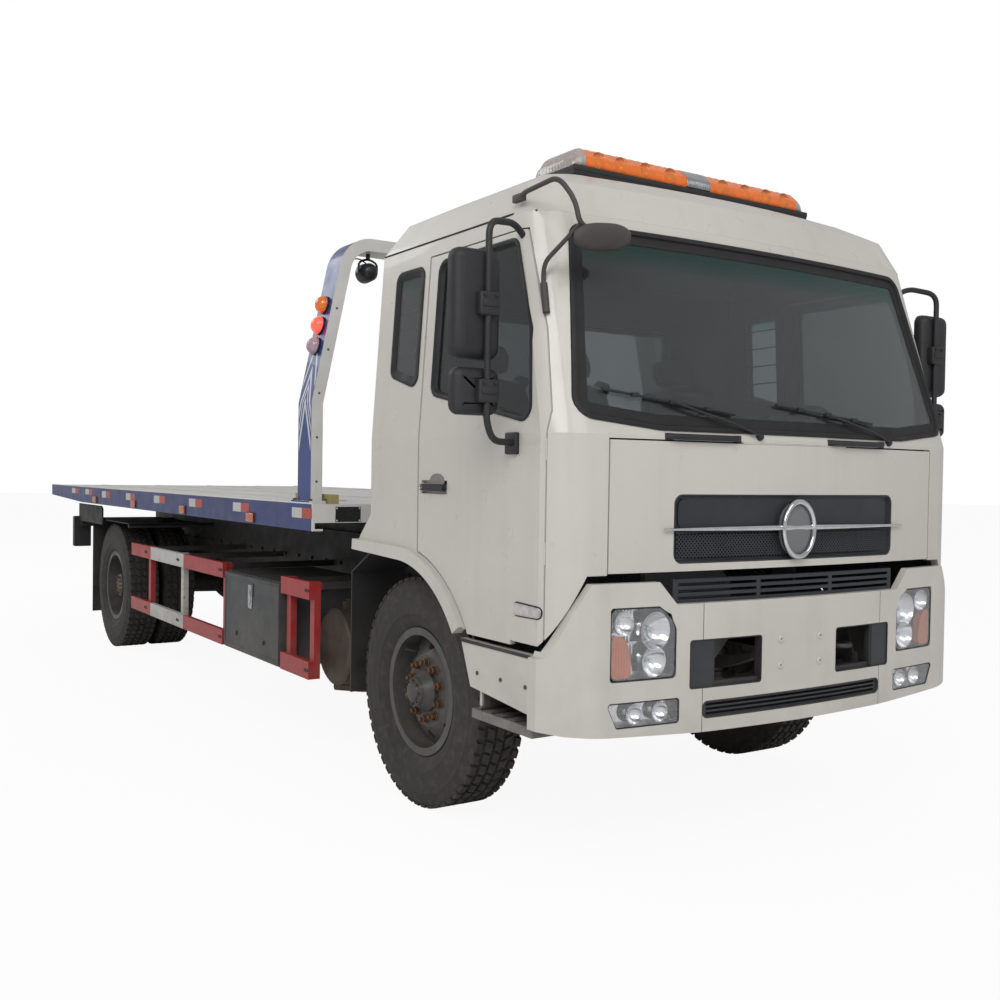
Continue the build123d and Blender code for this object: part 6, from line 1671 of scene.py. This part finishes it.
def bed_details():
    """Reflective tape, marker lamps, the patch on the front face, tie-down slots and edge rails."""
    red, white, amber, black, rail = Shape(), Shape(), Shape(), Shape(), Shape()
    for side in (-1, 1):
        for front, rear in ((0.727, 0.972), (1.568, 1.819), (2.359, 2.610), (3.117, 3.372), (3.848, 4.092),
                            (4.560, 4.810), (5.125, 5.370), (5.620, 5.865)):
            middle = (front + rear) / 2
            for shape, start, end in ((red, front, middle), (white, middle, rear)):
                drop = 0.012 if front > 5.1 else 0.0
                shape.flank(side, (1.2348, 1.2360), (behind(start), behind(end)),
                            (1.237 + drop, 1.288 + drop * 0.4), 0.0003, 1)
        for middle in (1.539, 2.732, 3.876, 5.022):
            black.flank(side, (1.2345, 1.2385), (behind(middle - 0.058), behind(middle + 0.058)),
                        (1.182, 1.242), 0.002)
            amber.flank(side, (1.2380, 1.2490), (behind(middle - 0.050), behind(middle + 0.050)),
                        (1.187, 1.237), 0.006, 3)
        rail.tube([(side * 1.2300, bed_front + 0.010, bed_top + 0.001),
                   (side * 1.2300, bed_tail - 0.012, bed_top + 0.001)],
                  0.0055, 0.02, 10)
        for step in range(9):
            y = 1.35 + 0.60 * step
            # Tie-down slots are thin black sheets on the deck; their black is painted shade of the holes.
            black.flank(side, (1.150, 1.185), (behind(y - 0.090), behind(y + 0.090)),
                        (bed_top + 0.0001, bed_top + 0.0012), 0.0004, 1)
            rail.flank(side, (1.143, 1.192), (behind(y - 0.098), behind(y + 0.098)),
                       (bed_top - 0.0005, bed_top + 0.0006), 0.0002, 1)
    for x in (-0.780, -0.260, 0.260, 0.780):
        rail.box((x - 0.022, bed_front + 0.6, bed_top - 0.0005),
                 (x + 0.022, bed_tail - 0.10, bed_top + 0.0035), 0.001, 1)
    black.box((-1.113, bed_front - 0.0014, 1.222), (-0.975, bed_front + 0.001, 1.297), 0.0004, 1)
    for x in (-1.106, -0.982):
        for z in (1.229, 1.290):
            rail.rod((x, bed_front - 0.0035, z), (x, bed_front, z), 0.004, sides=10)
    red.build("bed_tape_red", tape_red, "bed", "guard_red_white")
    white.build("bed_tape_white", tape_white, "bed", "guard_red_white")
    amber.build("bed_marker_lamps", marker_lens, "bed", "lamp_amber")
    black.build("bed_black_parts", smooth_black, "bed", "black_plastic")
    rail.build("bed_rails", bed_white, "bed", "bed_blue")


def gantry_details():
    """Side lamps, work lamps and the screws on the posts' front faces."""
    base, orange, lit, pink, glass_shape, screws, cable = (Shape() for count in range(7))
    for side in (-1, 1):
        outward = Vector((side * cos(post_lean), 0, sin(post_lean)))
        for z, lens_shape in ((2.100, pink), (2.205, lit), (2.310, orange)):
            foot = Vector((side * post_x(z), gantry_y, z))
            base.lathe(foot, outward, ((0.0003, 0.0), (0.0003, 0.047), (0.008, 0.047), (0.011, 0.044),
                                       (0.011, 0.0)), 32)
            lens_shape.lathe(foot, outward,
                             ((0.011, 0.0), (0.011, 0.0435), (0.020, 0.0430), (0.034, 0.0375),
                                             (0.045, 0.0270), (0.051, 0.0140), (0.0525, 0.0)), 32)
        place = Vector((side * 0.858, gantry_y, 2.502))
        base.lathe(place, (0, 1, 0), ((-0.052, 0.0), (-0.052, 0.018), (-0.044, 0.034), (-0.024, 0.046),
                                      (0.024, 0.050), (0.046, 0.050), (0.048, 0.044), (0.038, 0.043)), 32)
        glass_shape.lathe(place, (0, 1, 0), ((0.036, 0.0), (0.036, 0.043), (0.040, 0.042), (0.044, 0.0)),
                          28)
        base.tube([place + Vector((-0.052, 0, 0)), place + Vector((-0.054, 0, 0.050)),
                   place + Vector((0, 0, 0.072)),
                   place + Vector((0.054, 0, 0.050)), place + Vector((0.052, 0, 0))], 0.006, 0.03, 8)
        base.rod(place + Vector((0, 0, 0.070)), place + Vector((0, 0, 0.095)), 0.011, sides=12)
        for z in (1.420, 1.640, 1.860, 2.080, 2.290):
            x = post_x(z) - 0.031
            for y, ahead in ((0.825, -1), (0.985, 1)):
                screws.lathe((side * x, behind(y), z), (0, ahead, 0),
                             ((-0.001, 0.0), (-0.001, 0.0065), (0.001, 0.006),
                              (0.0022, 0.003), (0.0024, 0.0)), 14)
        for x in (1.120, 1.208):
            for y in (0.810, 1.000):
                screws.rod((side * x, behind(y), bed_top + 0.012), (side * x, behind(y), bed_top + 0.023),
                           0.010, sides=6, bevel=0.001)
        cable.tube([(side * 0.858, behind(0.925), 2.552), (side * 0.885, behind(0.955), 2.582),
                    (side * 0.960, behind(0.962), 2.560), (side * 1.010, behind(0.962), 2.440)], 0.0035,
                   0.03, 8)
    made = base.build("gantry_lamp_bodies", smooth_black, "bed", "black_plastic")
    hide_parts("gantry_lamps")
    orange.build("gantry_orange_lenses", amber_lens, "bed", "lamp_amber")
    lit.build("gantry_lit_lenses", lit_red_lens, "bed", "lamp_red")
    pink.build("gantry_faded_lenses", pink_lens, "bed", "lamp_clear")
    glass_shape.build("work_lamp_glass", clear_lens, "bed", "lamp_clear")
    screws.build("gantry_screws", cast_steel, "bed", "hub_steel")
    cable.build("work_lamp_cables", seal_rubber, "bed", "black_plastic")


def winch_details():
    """Rope wound on the drum, bolts and ribs on the motor."""
    y, z = winch_y, winch_z
    profile = []
    for step in range(217):
        along = -0.2165 + 0.433 * step / 216
        profile.append((along, 0.0805 + 0.0060 * abs(sin(pi * step / 6))))
    shape = Shape()
    shape.lathe((0, y, z), (1, 0, 0), [(-0.2175, 0.0775)] + profile + [(0.2175, 0.0775)], 40)
    shape.build("winch_rope", rope_steel, "winch_drum", "rope_steel", 30)
    parts = Shape()
    for step in range(7):
        x = 0.262 + 0.019 * step
        parts.lathe((x, y, z), (1, 0, 0), ((0.0, 0.0615), (0.0, 0.066), (0.006, 0.066), (0.006, 0.0615)),
                    32)
    for x in (-0.275, 0.275):
        for shift in (-0.115, 0.115):
            parts.rod((x, y + shift, bed_top + 0.015), (x, y + shift, bed_top + 0.027), 0.011, sides=6,
                      bevel=0.001)
    for side in (-1, 1):
        for turn in range(6):
            angle = pi * turn / 3
            parts.rod((side * 0.2555, y + 0.040 * cos(angle), z + 0.040 * sin(angle)),
                      (side * 0.2625, y + 0.040 * cos(angle), z + 0.040 * sin(angle)), 0.006, sides=6)
    parts.build("winch_bolts_and_ribs", cast_steel, "bed", "hub_steel")


def toolbox_details():
    """Latch, raised door border, knobs and hinge of the toolbox."""
    front, rear, outer = behind(1.281), behind(2.119), -1.170
    shape, bright = Shape(), Shape()
    for low, high in (((outer - 0.003, front + 0.004, 0.846), (outer + 0.004, rear - 0.004, 0.862)),
                      ((outer - 0.003, front + 0.004, 0.432), (outer + 0.004, rear - 0.004, 0.448)),
                      ((outer - 0.003, front + 0.004, 0.448), (outer + 0.004, front + 0.020, 0.846)),
                      ((outer - 0.003, rear - 0.020, 0.448), (outer + 0.004, rear - 0.004, 0.846))):
        shape.box(low, high, 0.0015)
    for step in range(14):
        y = front + 0.030 + 0.0565 * step
        shape.rod((outer + 0.006, y, 0.424), (outer + 0.006, y + 0.030, 0.424), 0.0066, sides=12)
    for y in (behind(1.50), behind(1.92)):
        shape.rod((outer, y, 0.520), (outer - 0.010, y, 0.520), 0.013, sides=16, bevel=0.003)
    shape.build("toolbox_door_border", toolbox_paint, "toolbox_door", "box_dark")
    middle = behind(1.700)
    bright.box((outer - 0.0065, middle - 0.026, 0.688), (outer - 0.0045 + 0.004, middle + 0.026, 0.822),
               0.003)
    bright.box((outer - 0.0125, middle - 0.012, 0.712), (outer - 0.006, middle + 0.012, 0.800), 0.004)
    bright.rod((outer - 0.006, middle, 0.704), (outer - 0.011, middle, 0.704), 0.007, sides=16, bevel=0.001)
    bright.build("toolbox_latch", satin_chrome, "toolbox_door", "chrome")


def tank_details():
    """Fuel tank straps and cap; silencer straps, seams and its pipe."""
    straps, bright = Shape(), Shape()
    for y in (1.400, 2.100):
        outline = oblong((0.586, 0.436), (1.114, 0.904))
        rings = []
        for growth, shift in ((0.0, -0.025), (0.0, 0.025), (-0.0045, 0.025), (-0.0045, -0.025)):
            rings.append([Vector((a, behind(y) + shift, b))
                          for a, b in rounded_loop(outline, 0.072, growth, 8)])
        straps.loops(rings + [rings[0]])
        straps.rod((1.080, behind(y), 0.470), (1.140, behind(y), 0.430), 0.008, sides=10)
    bright.lathe((0.900, behind(1.500), 0.924), (0, 0, 1), ((-0.004, 0.046), (0.004, 0.050), (0.022, 0.050),
                                                            (0.028, 0.044), (0.029, 0.0)), 32)
    straps.build("tank_straps", cast_steel, "chassis", "chassis_black")
    bright.build("tank_cap", satin_chrome, "chassis", "chrome")
    pipe = Shape()
    for x in (-0.930, -0.660):
        pipe.lathe((x - 0.020, silencer_y, silencer_z), (1, 0, 0),
                   ((0.0, 0.194), (0.0, 0.1985), (0.040, 0.1985), (0.040, 0.194), (0.0, 0.194)), 48)
    for x in (-1.002, -0.592):
        pipe.lathe((x, silencer_y, silencer_z), (1, 0, 0),
                   ((-0.005, 0.188), (-0.003, 0.198), (0.003, 0.198), (0.005, 0.188)), 48)
    pipe.tube([(-0.580, silencer_y, 0.600), (-0.500, behind(0.860), 0.610), (-0.390, behind(0.735), 0.625),
               (-0.275, behind(0.575), 0.700)], 0.030, 0.06, 16)
    pipe.tube([(-0.800, silencer_y, 0.378), (-0.800, silencer_y, 0.340), (-0.800, behind(1.020), 0.322),
               (-0.900, behind(1.140), 0.322)], 0.026, 0.05, 16)
    pipe.build("exhaust_pipe_and_bands", exhaust_steel, "chassis", "exhaust_steel")


def rear_details():
    """Tail lamp lenses, their screws, mudflap bolts and more bolts."""
    red, amber, clear, black = Shape(), Shape(), Shape(), Shape()
    for side in (-1, 1):
        for shape, low, high in ((red, 0.952, 1.026), (amber, 0.866, 0.940), (clear, 0.780, 0.854)):
            shape.flank(side, (1.057, 1.178), (lamp_rear - 0.002, lamp_rear + 0.012), (low, high), 0.006, 3)
            for x in (1.064, 1.171):
                black.rod((side * x, lamp_rear + 0.010, high - 0.007),
                          (side * x, lamp_rear + 0.0135, high - 0.007), 0.003, sides=8)
        for x in (0.65, 0.80, 0.95, 1.08):
            black.rod((side * x, mudflap_rear, 1.010), (side * x, behind(5.570), 1.010), 0.009, sides=6,
                      bevel=0.001)
            black.rod((side * x, behind(5.552), 1.010), (side * x, behind(5.544), 1.010), 0.009, sides=6,
                      bevel=0.001)
        for z in (0.940, 0.860):
            for x in (0.840, 0.930, 1.030):
                black.rod((side * x, behind(0.602), z), (side * x, behind(0.610), z), 0.009, sides=6,
                          bevel=0.001)
    red.build("tail_red_lenses", red_lens, "chassis", "lamp_red")
    amber.build("tail_amber_lenses", turn_lens, "chassis", "lamp_amber")
    clear.build("tail_clear_lenses", pale_lens, "chassis", "lamp_clear")
    black.build("rear_bolts", cast_steel, "chassis", "hub_steel")


def rail_bolt():
    shape = Shape()
    shape.rod((-0.001, 0, 0), (0.003, 0, 0), 0.014, sides=14)
    shape.rod((0.002, 0, 0), (0.012, 0, 0), 0.010, sides=6, bevel=0.0015)
    return shape


def guard_bolt():
    shape = Shape()
    shape.rod((0.001, 0, 0), (-0.006, 0, 0), 0.009, sides=6, bevel=0.0012)
    return shape


def chassis_details():
    """Rail bolts, spring clips, axle U-bolts and guard bolts."""
    rows = []
    for z in (0.735, 0.895):
        rows += [{"Count": 24, "Start": (0.430, behind(0.75), z), "Step": (0, 0.22, 0)}]
    copied_piece("rail_bolts_left", row_tree, rail_bolt(), cast_steel, rows, "chassis")
    mirrored_rows = [dict(row, Start=(-row["Start"][0] - 0.012, row["Start"][1], row["Start"][2]))
                     for row in rows]
    copied_piece("rail_bolts_right", row_tree, rail_bolt(), cast_steel, mirrored_rows, "chassis")
    clips = Shape()
    for side in (-1, 1):
        for x, middle, low, high, reach in ((0.392, 0.0, 0.498, 0.582, 0.34),
                                            (0.470, 5.0, 0.594, 0.690, 0.38)):
            for shift in (-reach, reach):
                clips.box((side * x - 0.044, behind(middle + shift) - 0.018, low + 0.036),
                          (side * x + 0.044, behind(middle + shift) + 0.018, high + 0.040), 0.004)
            for shift in (-0.058, 0.058):
                for flank in (-0.045, 0.045):
                    clips.rod((side * x + flank, behind(middle + shift), low - 0.050),
                              (side * x + flank, behind(middle + shift), high + 0.030), 0.009, sides=10)
            clips.box((side * x - 0.058, behind(middle) - 0.080, high + 0.002),
                      (side * x + 0.058, behind(middle) + 0.080, high + 0.018), 0.004)
    clips.build("spring_clips", cast_steel, "chassis", "spring_steel")
    guard_rows = []
    for z in (0.463, 0.867):
        for y in (2.190, 3.013, 3.768):
            guard_rows += [{"Count": 2, "Start": (-1.175, behind(y) - 0.014, z), "Step": (0, 0.028, 0)}]
        guard_rows += [{"Count": 2, "Start": (-1.175, behind(0.910) - 0.014, z), "Step": (0, 0.028, 0)}]
    copied_piece("guard_bolts_right", row_tree, guard_bolt(), cast_steel, guard_rows, "chassis")


window_trim()
wheel_details()
grille_details()
front_lamp_details()
bumper_details()
mirror_details()
light_bar_details()
wiper_details()
seat_details()
cab_inside_details()
door_details()
cab_trim_details()
bed_details()
gantry_details()
winch_details()
toolbox_details()
tank_details()
rear_details()
chassis_details()
